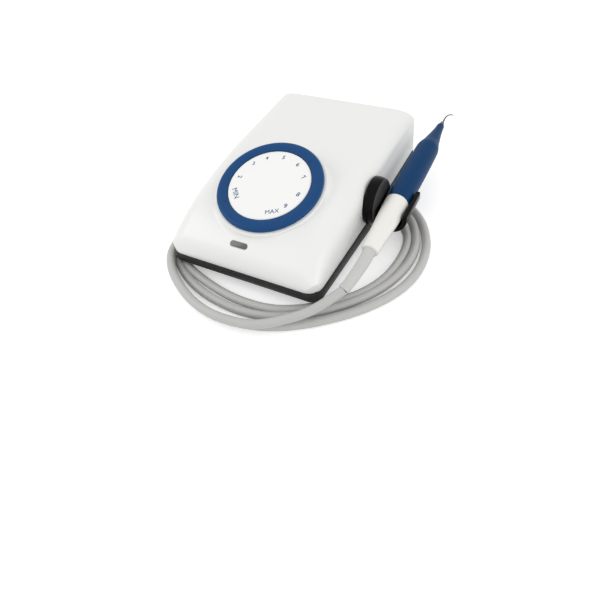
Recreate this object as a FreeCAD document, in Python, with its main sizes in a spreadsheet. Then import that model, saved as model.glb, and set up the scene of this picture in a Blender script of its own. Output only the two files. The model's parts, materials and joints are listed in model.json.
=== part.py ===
import FreeCAD, Part

# Ultrasonic dental scaler: power unit, power dial, handpiece on its holder and a coiled hose.
# Millimetres. X to the right, Y to the rear, Z up. Z = 0 is the table under the rubber feet.
# Here X = 0 and Y = 0 lie at the middle of the case; the written pieces are moved together so
# that the origin lies at the middle of the underside of the whole object's box.

import math
import os

import Sketcher
from FreeCAD import Placement, Rotation, Vector

os.makedirs("parts", exist_ok=True)
doc = FreeCAD.newDocument("DentalScaler")
sheet = doc.addObject("Spreadsheet::Sheet", "Sizes")
written = []
nodes = {}


class Dim:
    """A size in mm together with the sheet expression that gives it."""

    def __init__(self, value, text):
        self.value = value
        self.text = text

    def __add__(self, other):
        other = dim(other)
        return Dim(self.value + other.value, "(%s + %s)" % (self.text, other.text))

    def __sub__(self, other):
        other = dim(other)
        return Dim(self.value - other.value, "(%s - %s)" % (self.text, other.text))

    def __mul__(self, other):
        other = dim(other)
        return Dim(self.value * other.value, "(%s * %s)" % (self.text, other.text))

    def __truediv__(self, other):
        other = dim(other)
        return Dim(self.value / other.value, "(%s / %s)" % (self.text, other.text))

    def __neg__(self):
        return Dim(-self.value, "(0 - %s)" % self.text)

    __radd__ = __add__
    __rmul__ = __mul__

    def __rsub__(self, other):
        return dim(other) - self


class Group:
    """Sizes of one piece, by name."""


def dim(value):
    """A plain number as a Dim; a Dim stays as it is."""
    if isinstance(value, Dim):
        return value
    return Dim(float(value), "%g" % value if value >= 0 else "(0 - %g)" % -value)


def sine(angle):
    return Dim(math.sin(math.radians(angle.value)), "sin(%s)" % angle.text)


def cosine(angle):
    return Dim(math.cos(math.radians(angle.value)), "cos(%s)" % angle.text)


def rows(prefix, **sizes):
    """Write one group of sizes on the sheet and give them back by name."""
    group = Group()
    for key, value in sizes.items():
        line = len(written) + 1
        alias = prefix + "_" + key
        sheet.set("A%d" % line, alias.replace("_", " "))
        sheet.set("B%d" % line, str(value))
        sheet.setAlias("B%d" % line, alias)
        setattr(group, key, Dim(float(value), "Sizes." + alias))
        written.append(alias)
    return group


def bind(thing, prop, size):
    """Give a property the size's value and keep it tied to the sheet."""
    size = dim(size)
    if "Sizes." in size.text:
        thing.setExpression(prop, size.text)
    else:
        setattr(thing, prop, size.value)


def put(thing, x=0, y=0, z=0, axis=Vector(0, 0, 1), angle=0):
    """Place a piece: its origin at x, y, z and turned by an angle about an axis."""
    x, y, z, angle = dim(x), dim(y), dim(z), dim(angle)
    thing.Placement = Placement(Vector(x.value, y.value, z.value), Rotation(axis, angle.value))
    for prop, size in (("x", x), ("y", y), ("z", z)):
        if "Sizes." in size.text:
            thing.setExpression("Placement.Base." + prop, size.text)
    if "Sizes." in angle.text:
        thing.setExpression("Placement.Rotation.Angle", angle.text)
    return thing


def start_body(name, plane):
    """A new body with an empty sketch on one of its own origin planes."""
    body = doc.addObject("PartDesign::Body", name)
    flat = [item for item in body.Origin.OriginFeatures if item.Role == plane][0]
    sketch = body.newObject("Sketcher::SketchObject", name + "_sketch")
    sketch.AttachmentSupport = [(flat, "")]
    sketch.MapMode = "FlatFace"
    return body, sketch


def outline(sketch, points):
    """Draw a closed outline whose corners are tied to the sheet."""
    points = [(dim(a), dim(b)) for a, b in points]
    first = sketch.GeometryCount
    count = len(points)
    for i in range(count):
        a, b = points[i], points[(i + 1) % count]
        start = Vector(a[0].value, a[1].value, 0)
        end = Vector(b[0].value, b[1].value, 0)
        sketch.addGeometry(Part.LineSegment(start, end), False)
    for i in range(count):
        following = first + (i + 1) % count
        sketch.addConstraint(Sketcher.Constraint("Coincident", first + i, 2, following, 1))
    for i, (a, b) in enumerate(points):
        for kind, size in (("DistanceX", a), ("DistanceY", b)):
            held = Sketcher.Constraint(kind, -1, 1, first + i, 1, size.value)
            number = sketch.addConstraint(held)
            if "Sizes." in size.text:
                sketch.setExpression("Constraints[%d]" % number, size.text)


def hoop(sketch, radius, x=0, y=0):
    """Draw a circle whose radius and centre are tied to the sheet."""
    radius, x, y = dim(radius), dim(x), dim(y)
    centre = Vector(x.value, y.value, 0)
    drawn = sketch.addGeometry(Part.Circle(centre, Vector(0, 0, 1), radius.value), False)
    held = (
        (Sketcher.Constraint("Radius", drawn, radius.value), radius),
        (Sketcher.Constraint("DistanceX", -1, 1, drawn, 3, x.value), x),
        (Sketcher.Constraint("DistanceY", -1, 1, drawn, 3, y.value), y),
    )
    for constraint, size in held:
        number = sketch.addConstraint(constraint)
        if "Sizes." in size.text:
            sketch.setExpression("Constraints[%d]" % number, size.text)


def turned(name, points):
    """A body turned about its own Z from an outline of radius and height pairs."""
    body, sketch = start_body(name, "XZ_Plane")
    outline(sketch, points)
    solid = body.newObject("PartDesign::Revolution", name + "_turned")
    solid.Profile = sketch
    solid.ReferenceAxis = (sketch, ["V_Axis"])
    solid.Angle = 360
    return body


def plate(name, height, corners, holes=()):
    """A body padded up from z = 0, with round holes given as radius, x, y."""
    body, sketch = start_body(name, "XY_Plane")
    outline(sketch, corners)
    for radius, x, y in holes:
        hoop(sketch, radius, x, y)
    solid = body.newObject("PartDesign::Pad", name + "_pad")
    solid.Profile = sketch
    bind(solid, "Length", height)
    return body


def disc(name, height, radius, holes=()):
    """A round body padded up from z = 0, with round holes given as radius, x, y."""
    body, sketch = start_body(name, "XY_Plane")
    hoop(sketch, radius)
    for hole, x, y in holes:
        hoop(sketch, hole, x, y)
    solid = body.newObject("PartDesign::Pad", name + "_pad")
    solid.Profile = sketch
    bind(solid, "Length", height)
    return body


def rectangle(dx, dy):
    """Corners of a rectangle about the origin."""
    dx, dy = dim(dx) / 2, dim(dy) / 2
    return [(-dx, -dy), (dx, -dy), (dx, dy), (-dx, dy)]


def rod(name, radius, length, x=0, y=0, z=0, axis=Vector(0, 0, 1), angle=0):
    """A plain cylinder from its foot at x, y, z."""
    part = doc.addObject("Part::Cylinder", name)
    bind(part, "Radius", radius)
    bind(part, "Height", length)
    return put(part, x, y, z, axis, angle)


def cone(name, low, high, length, x=0, y=0, z=0, axis=Vector(0, 0, 1), angle=0):
    """A plain cone from its foot at x, y, z."""
    part = doc.addObject("Part::Cone", name)
    bind(part, "Radius1", low)
    bind(part, "Radius2", high)
    bind(part, "Height", length)
    return put(part, x, y, z, axis, angle)


def block(name, dx, dy, dz, x=0, y=0, z=0):
    """A plain box with the middle of its underside at x, y, z."""
    part = doc.addObject("Part::Box", name)
    bind(part, "Length", dx)
    bind(part, "Width", dy)
    bind(part, "Height", dz)
    return put(part, dim(x) - dim(dx) / 2, dim(y) - dim(dy) / 2, z)


def join(name, pieces):
    part = doc.addObject("Part::MultiFuse", name)
    part.Shapes = pieces
    return part


def less(name, base, tools):
    """A piece with the tools cut away."""
    part = doc.addObject("Part::Cut", name)
    part.Base = base
    part.Tool = tools[0] if len(tools) == 1 else join(name + "_tools", tools)
    return part


def both(name, first, second):
    part = doc.addObject("Part::Common", name)
    part.Base = first
    part.Tool = second
    return part


def several(name, pieces):
    """Alike pieces kept as separate solids under one name."""
    part = doc.addObject("Part::Compound", name)
    part.Links = pieces
    return part


def shape_of(name, shape, place=Placement()):
    """A piece from a ready shape, for forms that have no feature of their own."""
    part = doc.addObject("Part::Feature", name)
    part.Shape = shape
    part.Placement = place
    return part


def node(name, thing):
    thing.Label = name
    nodes[name] = thing
    return thing


X = Vector(1, 0, 0)
Y = Vector(0, 1, 0)

# ---------------------------------------------------------------- sizes

case = rows("case", width=130, length=194.4, parting=19.2, top=53.3, wall=2.5, front_drop=25.3,
            slope_start=14.9, crease_front=13.4, crease_rear=22.8, front_corner=15.6,
            back_corner=5.5, front_taper=1.6, taper_start=-40, top_wall=2.8, edge_round=13)
SLOPE_POWER = 3.73
SHOULDER_FRONT = 0.97
SHOULDER_REAR = 0.424
tray = rows("tray", inset=1.1, floor=2.5, belly=3, front_edge=11, front_mid=8.2,
            belly_front=-46, belly_back=-2, heel=14, heel_height=8.8, back_edge=12.5)
foot = rows("foot", radius=7, height=3, boss=8, x=45, front_y=-38, rear_y=78, socket=1)
screw = rows("screw", shank=1.5, head=3, head_depth=2, boss=4.5, bore=1.7, x=52, front_y=-66,
             rear_y=61, tip=33, front_seat=11, rear_seat=14, recess=3.4)
board = rows("board", width=100, length=100, thickness=1.6, y=2, z=17, post=3.5, post_x=45,
             post_reach=44, hole=1.2, head=2.4, head_depth=1.2, screw_tip=12)
dial = rows("dial", y=-39.4, z=58, tilt=12.7, ring=41.4, ring_hole=32.3, ring_depth=4,
            lip=1.2, web=1.2, hub=8.8, hub_foot=-14, bore=6.06, post=6, post_top=-2.4,
            plate=31.9, plate_top=-0.8, stub=3, stub_depth=6)
deck = rows("deck", radius=43.9, foot_radius=46.5, top=-4.3, thickness=2.7, well=40, hole=11,
            pillar=3.5, pillar_at=34, pillar_foot=-18, cone_foot=-14)
gear = rows("gear", top=-9, depth=4, pitch=12, teeth=30, addendum=0.55, dedendum=0.85,
            hub_gap=0, shaft=2.5)
carrier = rows("carrier", radius=38, thickness=2, boss=9, screw=1.1, screw_head=2.2,
               screw_reach=6, shaft_hole=3.2)
pot = rows("pot", radius=8.5, depth=8, collar=3.1)
bush = rows("bush", bore=8.86, flange=12.5, flange_depth=1.2)
clip = rows("clip", rim=2, thickness=0.7)
led = rows("led", y=-84.5, length=15, width=4.5, proud=0.3, reach=6, tilt=31.2, z=37.1,
           board_x=24, board_y=9, board_t=1.4, peg=1.5, peg_x=10)
panel = rows("panel", width=108, height=20.8, thickness=2, opening=100, opening_top=38, z=30,
             screw_x=51.5, screw=1.4, screw_head=2.6, screw_length=7)
power = rows("power", x=-40, collar=6, collar_depth=2, body=5.4, body_length=14, bore=3.3,
             bore_depth=9, pin=1)
pedal = rows("pedal", x=-22, collar=5.5, collar_depth=2, body=4.9, body_length=14, bore=2.6,
             bore_depth=11)
gland = rows("gland", x=-3, nut=7.5, nut_depth=4, body=5.2, inside=7, sleeve=16, sleeve_end=4.4)
flow = rows("flow", x=17, body=5, inside=12, collar=6.5, collar_depth=1.5, stem=2, stem_out=7)
knob = rows("knob", radius=7.5, depth=9, grip=6.6, cavity=5.2, bore=2.05, gap=0.4)
inlet = rows("inlet", x=38, flange=6.5, flange_depth=2.5, body=4.5, inside=8, nipple=3,
             length=14, bore=1.8)
valve = rows("valve", width=18, length=18, height=18, y=65, z=18, coil=7.5, coil_height=12)
pipe = rows("pipe", radius=2.5, bore=1.5, bend=6)
transformer = rows("transformer", width=30, length=26, height=24, x=-26, y=28, bobbin=20)
sink = rows("sink", width=34, length=22, height=18, x=22, y=28, fin=2, base=4)
cap = rows("cap", radius=5, height=13, x=-36, y=-22, pitch=13)
plug = rows("plug", width=8, length=18, height=9, x=42, y=-18, pitch=26)
seat = rows("seat", x=84.5, y=6.7, z=29.7, lean=2.15)
shell = rows("shell", back=-56, end=5.6, chamfer=2, neck=6.8, waist=8.2, waist_at=-30, rim=9.3,
             bore=6.2, bore_depth=-20, cup=7.4)
contact = rows("contact", radius=7.4, depth=16, spigot=5, spigot_length=9, pin=0.6, pin_at=2.6,
               pin_out=4, pin_in=14)
sleeve = rows("sleeve", root=9.2, belly=9.9, belly_at=30, shoulder=9.4, shoulder_at=64,
              neck=6.4, neck_at=76, throat=4.3, throat_at=85, nose=2.9, nose_at=96,
              tip=2.4, length=98.5, bore=7.6, bore_end=58, bore_neck=4.9, bore_neck_at=72,
              outlet=2, outlet_at=86)
horn = rows("horn", back=18, mass_end=28, mass=5.6, stack=5.4, stack_bore=2, slice=2, front=5.8,
            front_end=44, flange=7.6, flange_end=46, step=4.6, step_end=60, thin=1.7,
            thin_at=84, end=97.6, thread=1.05, thread_depth=8)
tip = rows("tip", stub=1, collar=1.8, collar_start=98.7, collar_end=102, shank=0.95, end=0.45,
           bend_start=110, reach=118, hook=4.6, droop=1.6)
holder = rows("holder", disc=19.6, thickness=7, y=-2.6, z=31, inner=10.3, wall=3.5, front=-33,
              rear=20, arm=4, pad=9, screw=2.2, screw_z=25.5, screw_head=3.4)
hose = rows("hose", radius=3.5, coil_height=7)
origin = rows("origin", x=16.65, y=13.95)

width_2 = case.width / 2
length_2 = case.length / 2


# ---------------------------------------------------------------- case forms

def top_at(y):
    """Height of the cover's top on the centre line."""
    if y >= case.slope_start.value:
        return case.top.value
    span = case.slope_start.value + length_2.value
    share = (case.slope_start.value - y) / span
    return case.top.value - case.front_drop.value * share ** SLOPE_POWER


def section(y, inset, low, sink_by):
    """Cross-section of the cover: flat top, rounded shoulders, upright sides."""
    top = top_at(y) - sink_by
    side = width_2.value - inset
    back_share = (y + length_2.value) / case.length.value
    edge = case.crease_front.value + (case.crease_rear.value - case.crease_front.value) * back_share
    crease = width_2.value - edge - 0.4 * inset
    share = SHOULDER_FRONT + (SHOULDER_REAR - SHOULDER_FRONT) * min(1, 2 * back_share)
    drop = min(share * (top_at(y) - case.parting.value), top - low - 0.3)

    def shoulder(way):
        curve = Part.BezierCurve()
        curve.setPoles([
            Vector(way * crease, y, top),
            Vector(way * (crease + 0.65 * (side - crease)), y, top - 0.14 * drop),
            Vector(way * side, y, top - 0.38 * drop),
            Vector(way * side, y, top - drop),
        ])
        return curve.toShape()

    edges = [
        Part.makeLine(Vector(-crease, y, top), Vector(crease, y, top)),
        shoulder(1),
        Part.makeLine(Vector(side, y, top - drop), Vector(side, y, low)),
        Part.makeLine(Vector(side, y, low), Vector(-side, y, low)),
        Part.makeLine(Vector(-side, y, low), Vector(-side, y, top - drop)),
        shoulder(-1),
    ]
    return Part.Wire(Part.__sortEdges__(edges))


def plan_prism(inset, low, high, front_round, back_round):
    """Upright prism with the case's plan: rounded corners and a slight front taper."""
    front = width_2.value - case.front_taper.value - inset
    back = width_2.value - inset
    end = length_2.value - inset
    start = case.taper_start.value
    corners = [
        Vector(-front, -end, low),
        Vector(front, -end, low),
        Vector(back, start, low),
        Vector(back, end, low),
        Vector(-back, end, low),
        Vector(-back, start, low),
    ]
    face = Part.Face(Part.makePolygon(corners + corners[:1]))
    solid = face.extrude(Vector(0, 0, high - low))
    for radius, way in ((front_round, -1), (back_round, 1)):
        upright = []
        for edge in solid.Edges:
            box = edge.BoundBox
            at_end = abs(box.YMin - way * end) < 0.01 and abs(box.YMax - way * end) < 0.01
            if at_end and box.ZLength > 1:
                upright.append(edge)
        solid = solid.makeFillet(radius, upright)
    return solid


def cover_form(inset, low, sink_by):
    """Solid under the cover's surface, down to the given height."""
    end = length_2.value - inset
    stations = [-end, -88, -78, -64, -48, -30, -8, 15, 45, 62, 80, end]
    loft = Part.makeLoft([section(y, inset, low, sink_by) for y in stations], True)
    rounds = case.front_corner.value - inset, case.back_corner.value - inset
    return loft.common(plan_prism(inset, low, 70, rounds[0], rounds[1]))


def side_slab(edges):
    """Slab across the case from its side view in the middle plane."""
    face = Part.Face(Part.Wire(Part.__sortEdges__(edges)))
    slab = face.extrude(Vector(case.width.value + 10, 0, 0))
    slab.translate(Vector(-width_2.value - 5, 0, 0))
    return slab


def end_rounds(inset, sink_by):
    """Slab that rounds over the rear top edge, and on the outside the front wall's top too."""
    end = length_2.value - inset
    back = case.edge_round.value - inset
    top = case.top.value - sink_by
    corner = back * (1 - math.sqrt(0.5))
    high = top + 20
    low = case.parting.value - 5
    edges = [
        Part.makeLine(Vector(0, end, low), Vector(0, end, top - back)),
        Part.Arc(Vector(0, end, top - back), Vector(0, end - corner, top - corner),
                 Vector(0, end - back, top)).toShape(),
        Part.makeLine(Vector(0, end - back, top), Vector(0, end - back, high)),
        Part.makeLine(Vector(0, -end, low), Vector(0, end, low)),
    ]
    if inset > 0:
        edges.append(Part.makeLine(Vector(0, end - back, high), Vector(0, -end, high)))
        edges.append(Part.makeLine(Vector(0, -end, high), Vector(0, -end, low)))
        return side_slab(edges)
    wall_top = top - case.front_drop.value
    front_end = Vector(0, -end + 3.4, top_at(-end + 3.4) + 0.2)
    edges.append(Part.makeLine(Vector(0, end - back, high), Vector(0, front_end.y, high)))
    edges.append(Part.makeLine(Vector(0, front_end.y, high), front_end))
    edges.append(Part.Arc(front_end, Vector(0, -end + 0.8, wall_top - 0.1),
                          Vector(0, -end, wall_top - 3)).toShape())
    edges.append(Part.makeLine(Vector(0, -end, wall_top - 3), Vector(0, -end, low)))
    return side_slab(edges)


def tray_form(inset, lift, high):
    """Solid over the tray's boat-shaped underside, up to the given height."""
    end = length_2.value

    def at(y, z):
        return Vector(0, y, z + lift)

    front = Part.BSplineCurve()
    front.interpolate(
        Points=[
            at(-end, tray.front_edge.value),
            at(-72, tray.front_mid.value),
            at(tray.belly_front.value, tray.belly.value),
        ],
        InitialTangent=Vector(0, 1, -0.08),
        FinalTangent=Vector(0, 1, 0),
    )
    heel = Part.BSplineCurve()
    heel.interpolate(
        Points=[
            at(tray.belly_back.value, tray.belly.value),
            at(tray.heel.value, tray.heel_height.value),
        ],
        InitialTangent=Vector(0, 1, 0),
        FinalTangent=Vector(0, 1, 0.05),
    )
    edges = [
        front.toShape(),
        Part.makeLine(at(tray.belly_front.value, tray.belly.value),
                      at(tray.belly_back.value, tray.belly.value)),
        heel.toShape(),
        Part.makeLine(at(tray.heel.value, tray.heel_height.value),
                      at(end, tray.back_edge.value)),
        Part.makeLine(at(end, tray.back_edge.value), Vector(0, end, high)),
        Part.makeLine(Vector(0, end, high), Vector(0, -end, high)),
        Part.makeLine(Vector(0, -end, high), at(-end, tray.front_edge.value)),
    ]
    face = Part.Face(Part.Wire(Part.__sortEdges__(edges)))
    slab = face.extrude(Vector(case.width.value, 0, 0))
    slab.translate(Vector(-width_2.value, 0, 0))
    rounds = case.front_corner.value - inset, case.back_corner.value - inset
    return slab.common(plan_prism(inset, 0, high, rounds[0], rounds[1]))


doc.recompute()
outer = cover_form(0, case.parting.value, 0).common(end_rounds(0, 0))
inner = cover_form(case.wall.value, case.parting.value, case.top_wall.value).common(
    end_rounds(case.wall.value, case.top_wall.value))

# ---------------------------------------------------------------- base tray

tray_blank = shape_of("tray_blank", tray_form(tray.inset.value, 0, case.parting.value))
tray_room = shape_of(
    "tray_room",
    tray_form(tray.inset.value + case.wall.value, tray.floor.value, case.parting.value + 5),
)
tray_hollow = less("tray_hollow", tray_blank, [tray_room])
tray_adds = []
tray_cuts = []
feet = []
for side in (-1, 1):
    for where, y, top in (("front", foot.front_y, 8), ("rear", foot.rear_y, 14)):
        name = "foot_%s_%s" % (where, "left" if side < 0 else "right")
        x = foot.x * side
        tray_adds.append(rod(name + "_boss", foot.boss, top - tray.belly, x, y, tray.belly))
        tray_cuts.append(rod(name + "_socket", foot.radius - 2, foot.socket, x, y, tray.belly))
        pad = turned(name, [
            (0, 0),
            (foot.radius - 0.8, 0),
            (foot.radius, 0.8),
            (foot.radius, foot.height),
            (foot.radius - 2, foot.height),
            (foot.radius - 2, foot.height + foot.socket),
            (0, foot.height + foot.socket),
        ])
        feet.append(put(pad, x, y, 0))
screws = []
for side in (-1, 1):
    for where, y, seat_z in (("front", screw.front_y, screw.front_seat),
                             ("rear", screw.rear_y, screw.rear_seat)):
        name = "screw_%s_%s" % (where, "left" if side < 0 else "right")
        x = screw.x * side
        tray_adds.append(rod(name + "_post", screw.boss, case.parting - seat_z + 2, x, y,
                             seat_z - 2))
        tray_cuts.append(rod(name + "_recess", screw.recess, seat_z - 2, x, y, 2))
        tray_cuts.append(rod(name + "_way", screw.bore, 20, x, y, 2))
        pin = turned(name, [
            (0, seat_z - screw.head_depth),
            (screw.head, seat_z - screw.head_depth),
            (screw.head, seat_z),
            (screw.shank, seat_z),
            (screw.shank, screw.tip - 1),
            (0, screw.tip),
        ])
        screws.append(put(pin, x, y, 0))
board_screws = []
for side in (-1, 1):
    for end in (-1, 1):
        name = "board_%s_%s" % ("left" if side < 0 else "right", "front" if end < 0 else "rear")
        x = board.post_x * side
        y = board.y + board.post_reach * end
        foot_z = 5 if end < 0 else 12
        tray_adds.append(rod(name + "_post", board.post, board.z - foot_z, x, y, foot_z))
        tray_cuts.append(rod(name + "_way", board.hole, board.z - board.screw_tip + 1, x, y,
                             board.screw_tip))
        top = board.z + board.thickness
        pin = turned(name, [
            (0, board.screw_tip),
            (board.hole, board.screw_tip + 0.6),
            (board.hole, top),
            (board.head, top),
            (board.head, top + board.head_depth),
            (0, top + board.head_depth),
        ])
        board_screws.append(put(pin, x, y, 0))
tray_adds.append(block("valve_pad", valve.width, valve.length, valve.z - 12, inlet.x, valve.y, 12))
tray_cuts.append(rod("drain_hole", 1.5, 10, 0, -20, 0))
tray_full = join("tray_full", [tray_hollow] + tray_adds)
node("base_tray", less("tray_done", tray_full, tray_cuts))
node("rubber_feet", several("feet_set", feet))
node("case_screws", several("case_screw_set", screws))
node("board_screws", several("board_screw_set", board_screws))

# ---------------------------------------------------------------- top cover


def on_dial(thing):
    """Stand a piece on the dial's tilted axis; its z = 0 is the ring's top face."""
    return put(thing, 0, dial.y, dial.z, X, dial.tilt)


def beside_dial(thing, across, along, up):
    """As on_dial, but moved across, along and up in the tilted frame."""
    across, along, up = dim(across), dim(along), dim(up)
    lean, rise = sine(dial.tilt), cosine(dial.tilt)
    return put(thing, across, dial.y + along * rise - up * lean,
               dial.z + along * lean + up * rise, X, dial.tilt)


outer_form = shape_of("outer_form", outer)
inner_form = shape_of("inner_form", inner)
deck_wall = beside_dial(rod("deck_wall", deck.radius, deck.top - deck.cone_foot), 0, 0,
                        deck.cone_foot)
deck_foot = beside_dial(cone("deck_foot", deck.foot_radius, deck.radius,
                             deck.top - deck.cone_foot - 2), 0, 0, deck.cone_foot)
cover_mass = join("cover_mass", [outer_form, deck_wall, deck_foot])
deck_well = beside_dial(rod("deck_well", deck.well, 18), 0, 0, deck.top - deck.thickness - 18)
cover_hollow = less("cover_hollow", cover_mass, [inner_form, deck_well])

posts = []
cover_cuts = []
for side in (-1, 1):
    for where, y in (("front", screw.front_y), ("rear", screw.rear_y)):
        name = "cover_%s_%s" % (where, "left" if side < 0 else "right")
        x = screw.x * side
        posts.append(rod(name + "_post", screw.boss, 40, x, y, case.parting))
        cover_cuts.append(rod(name + "_way", screw.shank, screw.tip - case.parting + 1, x, y,
                              case.parting))
cover_posts = both("cover_posts", join("cover_post_set", posts), outer_form)
pillars = []
carrier_screws = []
for i, angle in enumerate((30, 150, 270)):
    x = deck.pillar_at * math.cos(math.radians(angle))
    y = deck.pillar_at * math.sin(math.radians(angle))
    length = deck.top - deck.thickness - deck.pillar_foot + 0.5
    pillars.append(beside_dial(rod("pillar_%d" % (i + 1), deck.pillar, length), x, y,
                               deck.pillar_foot))
    cover_cuts.append(beside_dial(rod("pillar_way_%d" % (i + 1), carrier.screw,
                                      carrier.screw_reach + 0.5), x, y, deck.pillar_foot))
    pin = turned("carrier_screw_%d" % (i + 1), [
        (0, -carrier.screw_head),
        (carrier.screw_head, -carrier.screw_head),
        (carrier.screw_head, 0),
        (carrier.screw, 0),
        (carrier.screw, carrier.thickness + carrier.screw_reach - 0.5),
        (0, carrier.thickness + carrier.screw_reach),
    ])
    carrier_screws.append(beside_dial(pin, x, y, deck.pillar_foot - carrier.thickness))


def on_slope(thing, across, up):
    """Stand a piece on the front slope at the lamp, moved across and up."""
    lean, rise = sine(led.tilt), cosine(led.tilt)
    return put(thing, across, led.y - dim(up) * lean, led.z + dim(up) * rise, X, led.tilt)


half_pill = (led.length - led.width) / 2


def pill(name, reach, top, grow):
    """A pill-shaped prism standing through the front slope."""
    round_r = led.width / 2 + grow
    middle = doc.addObject("Part::Box", name + "_middle")
    bind(middle, "Length", half_pill * 2)
    bind(middle, "Width", round_r * 2)
    bind(middle, "Height", reach + top)
    lean, rise = sine(led.tilt), cosine(led.tilt)
    put(middle, -half_pill, led.y + reach * lean - round_r * rise,
        led.z - reach * rise - round_r * lean, X, led.tilt)
    left = on_slope(rod(name + "_left", round_r, reach + top), -half_pill, -reach)
    right = on_slope(rod(name + "_right", round_r, reach + top), half_pill, -reach)
    return join(name, [middle, left, right])


pegs = []
for side in (-1, 1):
    pegs.append(on_slope(rod("led_peg_%d" % side if side > 0 else "led_peg_0", led.peg,
                             led.reach - 1), led.peg_x * side, -led.reach))
cover_cuts.append(pill("led_hole", led.reach + 2, led.proud + 4, dim(0)))
cover_cuts.append(beside_dial(rod("deck_hole", deck.hole, 12), 0, 0, deck.top - 10))
cover_cuts.append(block("panel_hole", panel.opening, case.wall + 2,
                        panel.opening_top - case.parting + 1, 0,
                        length_2 - case.wall / 2, case.parting - 1))
cover_cuts.append(rod("holder_way", holder.screw, 12, width_2 - 8, holder.y, holder.screw_z, Y, 90))
for side in (-1, 1):
    name = "panel_way_" + ("left" if side < 0 else "right")
    cover_cuts.append(rod(name, panel.screw, 8, panel.screw_x * side, length_2 + 1, panel.z, X, 90))
cover_full = join("cover_full", [cover_hollow, cover_posts] + pillars + pegs)
node("top_cover", less("cover_done", cover_full, cover_cuts))

node("led_window", pill("led_pill", led.reach, led.proud, dim(0)))
led_plate = on_slope(plate("led_plate", led.board_t, rectangle(led.board_x, led.board_y)), 0,
                     -led.reach - led.board_t)
node("led_board", led_plate)

# ---------------------------------------------------------------- dial

ring_low = -dial.ring_depth
web_top = ring_low + dial.web
node("dial_ring", on_dial(turned("ring_body", [
    (dial.bore, dial.hub_foot),
    (dial.hub, dial.hub_foot),
    (dial.hub, ring_low),
    (dial.ring, ring_low),
    (dial.ring, -dial.lip),
    (dial.ring - dial.lip, 0),
    (dial.ring_hole, 0),
    (dial.ring_hole, web_top),
    (dial.bore, web_top),
])))
node("dial_bush", on_dial(turned("bush_body", [
    (bush.bore, deck.top - deck.thickness - bush.flange_depth),
    (bush.flange, deck.top - deck.thickness - bush.flange_depth),
    (bush.flange, deck.top - deck.thickness),
    (deck.hole, deck.top - deck.thickness),
    (deck.hole, deck.top),
    (bush.bore, deck.top),
])))
plate_low = dial.post_top
node("scale_plate", on_dial(turned("scale_body", [
    (0, plate_low - dial.stub_depth),
    (dial.stub, plate_low - dial.stub_depth),
    (dial.stub, plate_low),
    (dial.plate, plate_low),
    (dial.plate, dial.plate_top - 0.4),
    (dial.plate - 0.4, dial.plate_top),
    (0, dial.plate_top),
])))
carrier_low = deck.pillar_foot - carrier.thickness
carrier_body = on_dial(turned("carrier_body", [
    (0, carrier_low),
    (carrier.radius, carrier_low),
    (carrier.radius, deck.pillar_foot),
    (dial.post, deck.pillar_foot),
    (dial.post, dial.post_top),
    (dial.stub, dial.post_top),
    (dial.stub, dial.post_top - dial.stub_depth),
    (0, dial.post_top - dial.stub_depth),
]))
carrier_holes = []
for i, angle in enumerate((30, 150, 270)):
    x = deck.pillar_at * math.cos(math.radians(angle))
    y = deck.pillar_at * math.sin(math.radians(angle))
    carrier_holes.append(beside_dial(rod("carrier_way_%d" % (i + 1), carrier.screw,
                                         carrier.thickness + 2), x, y, carrier_low - 1))
carrier_holes.append(beside_dial(rod("carrier_shaft_way", carrier.shaft_hole,
                                     carrier.thickness + 2), 0, gear.pitch * 2, carrier_low - 1))
node("dial_carrier", less("carrier_done", carrier_body, carrier_holes))
node("carrier_screws", several("carrier_screw_set", carrier_screws))


def gear_face(turn):
    """Flat outline of a straight-toothed gear about the origin."""
    teeth = int(gear.teeth.value)
    tip_r = gear.pitch.value + gear.addendum.value
    root_r = gear.pitch.value - gear.dedendum.value
    step = 2 * math.pi / teeth
    points = []
    for i in range(teeth):
        for share, radius in ((-0.27, root_r), (-0.11, tip_r), (0.11, tip_r), (0.27, root_r)):
            angle = math.pi / 2 + step * (i + turn + share)
            points.append(Vector(radius * math.cos(angle), radius * math.sin(angle), 0))
    return Part.Face(Part.makePolygon(points + points[:1]))


def gear_solid(turn, hole):
    blank = gear_face(turn).extrude(Vector(0, 0, gear.depth.value))
    if hole == 0:
        return blank
    return blank.cut(Part.makeCylinder(hole, gear.depth.value))


lean, rise = math.sin(math.radians(dial.tilt.value)), math.cos(math.radians(dial.tilt.value))


def gear_place(along, up):
    """Placement in the dial's tilted frame."""
    base = Vector(0, dial.y.value + along * rise - up * lean, dial.z.value + along * lean + up * rise)
    return Placement(base, Rotation(X, dial.tilt.value))


gear_low = gear.top.value - gear.depth.value
node("dial_gear", shape_of("dial_gear_body", gear_solid(0, dial.hub.value),
                           gear_place(0, gear_low)))
clip_ring = on_dial(turned("clip_body", [
    (dial.hub, gear.top),
    (dial.hub + clip.rim, gear.top),
    (dial.hub + clip.rim, gear.top + clip.thickness),
    (dial.hub, gear.top + clip.thickness),
]))
node("hub_clip", clip_ring)
pot_wheel = gear_solid(0.5, 0)
pot_shaft = Part.makeCylinder(gear.shaft.value, gear_low - carrier_low.value + 3)
pot_shaft.translate(Vector(0, 0, -(gear_low - carrier_low.value + 3)))
node("pot_gear", shape_of("pot_gear_body", pot_wheel.fuse(pot_shaft).removeSplitter(),
                          gear_place(2 * gear.pitch.value, gear_low)))
pot_body = turned("pot_body", [
    (0, -pot.depth),
    (pot.radius, -pot.depth),
    (pot.radius, 0),
    (pot.collar, 0),
    (pot.collar, carrier.thickness),
    (gear.shaft + 0.05, carrier.thickness),
    (gear.shaft + 0.05, -3.2),
    (0, -3.2),
])
node("potentiometer", beside_dial(pot_body, 0, gear.pitch * 2, carrier_low))

# ---------------------------------------------------------------- electronics on the board

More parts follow.
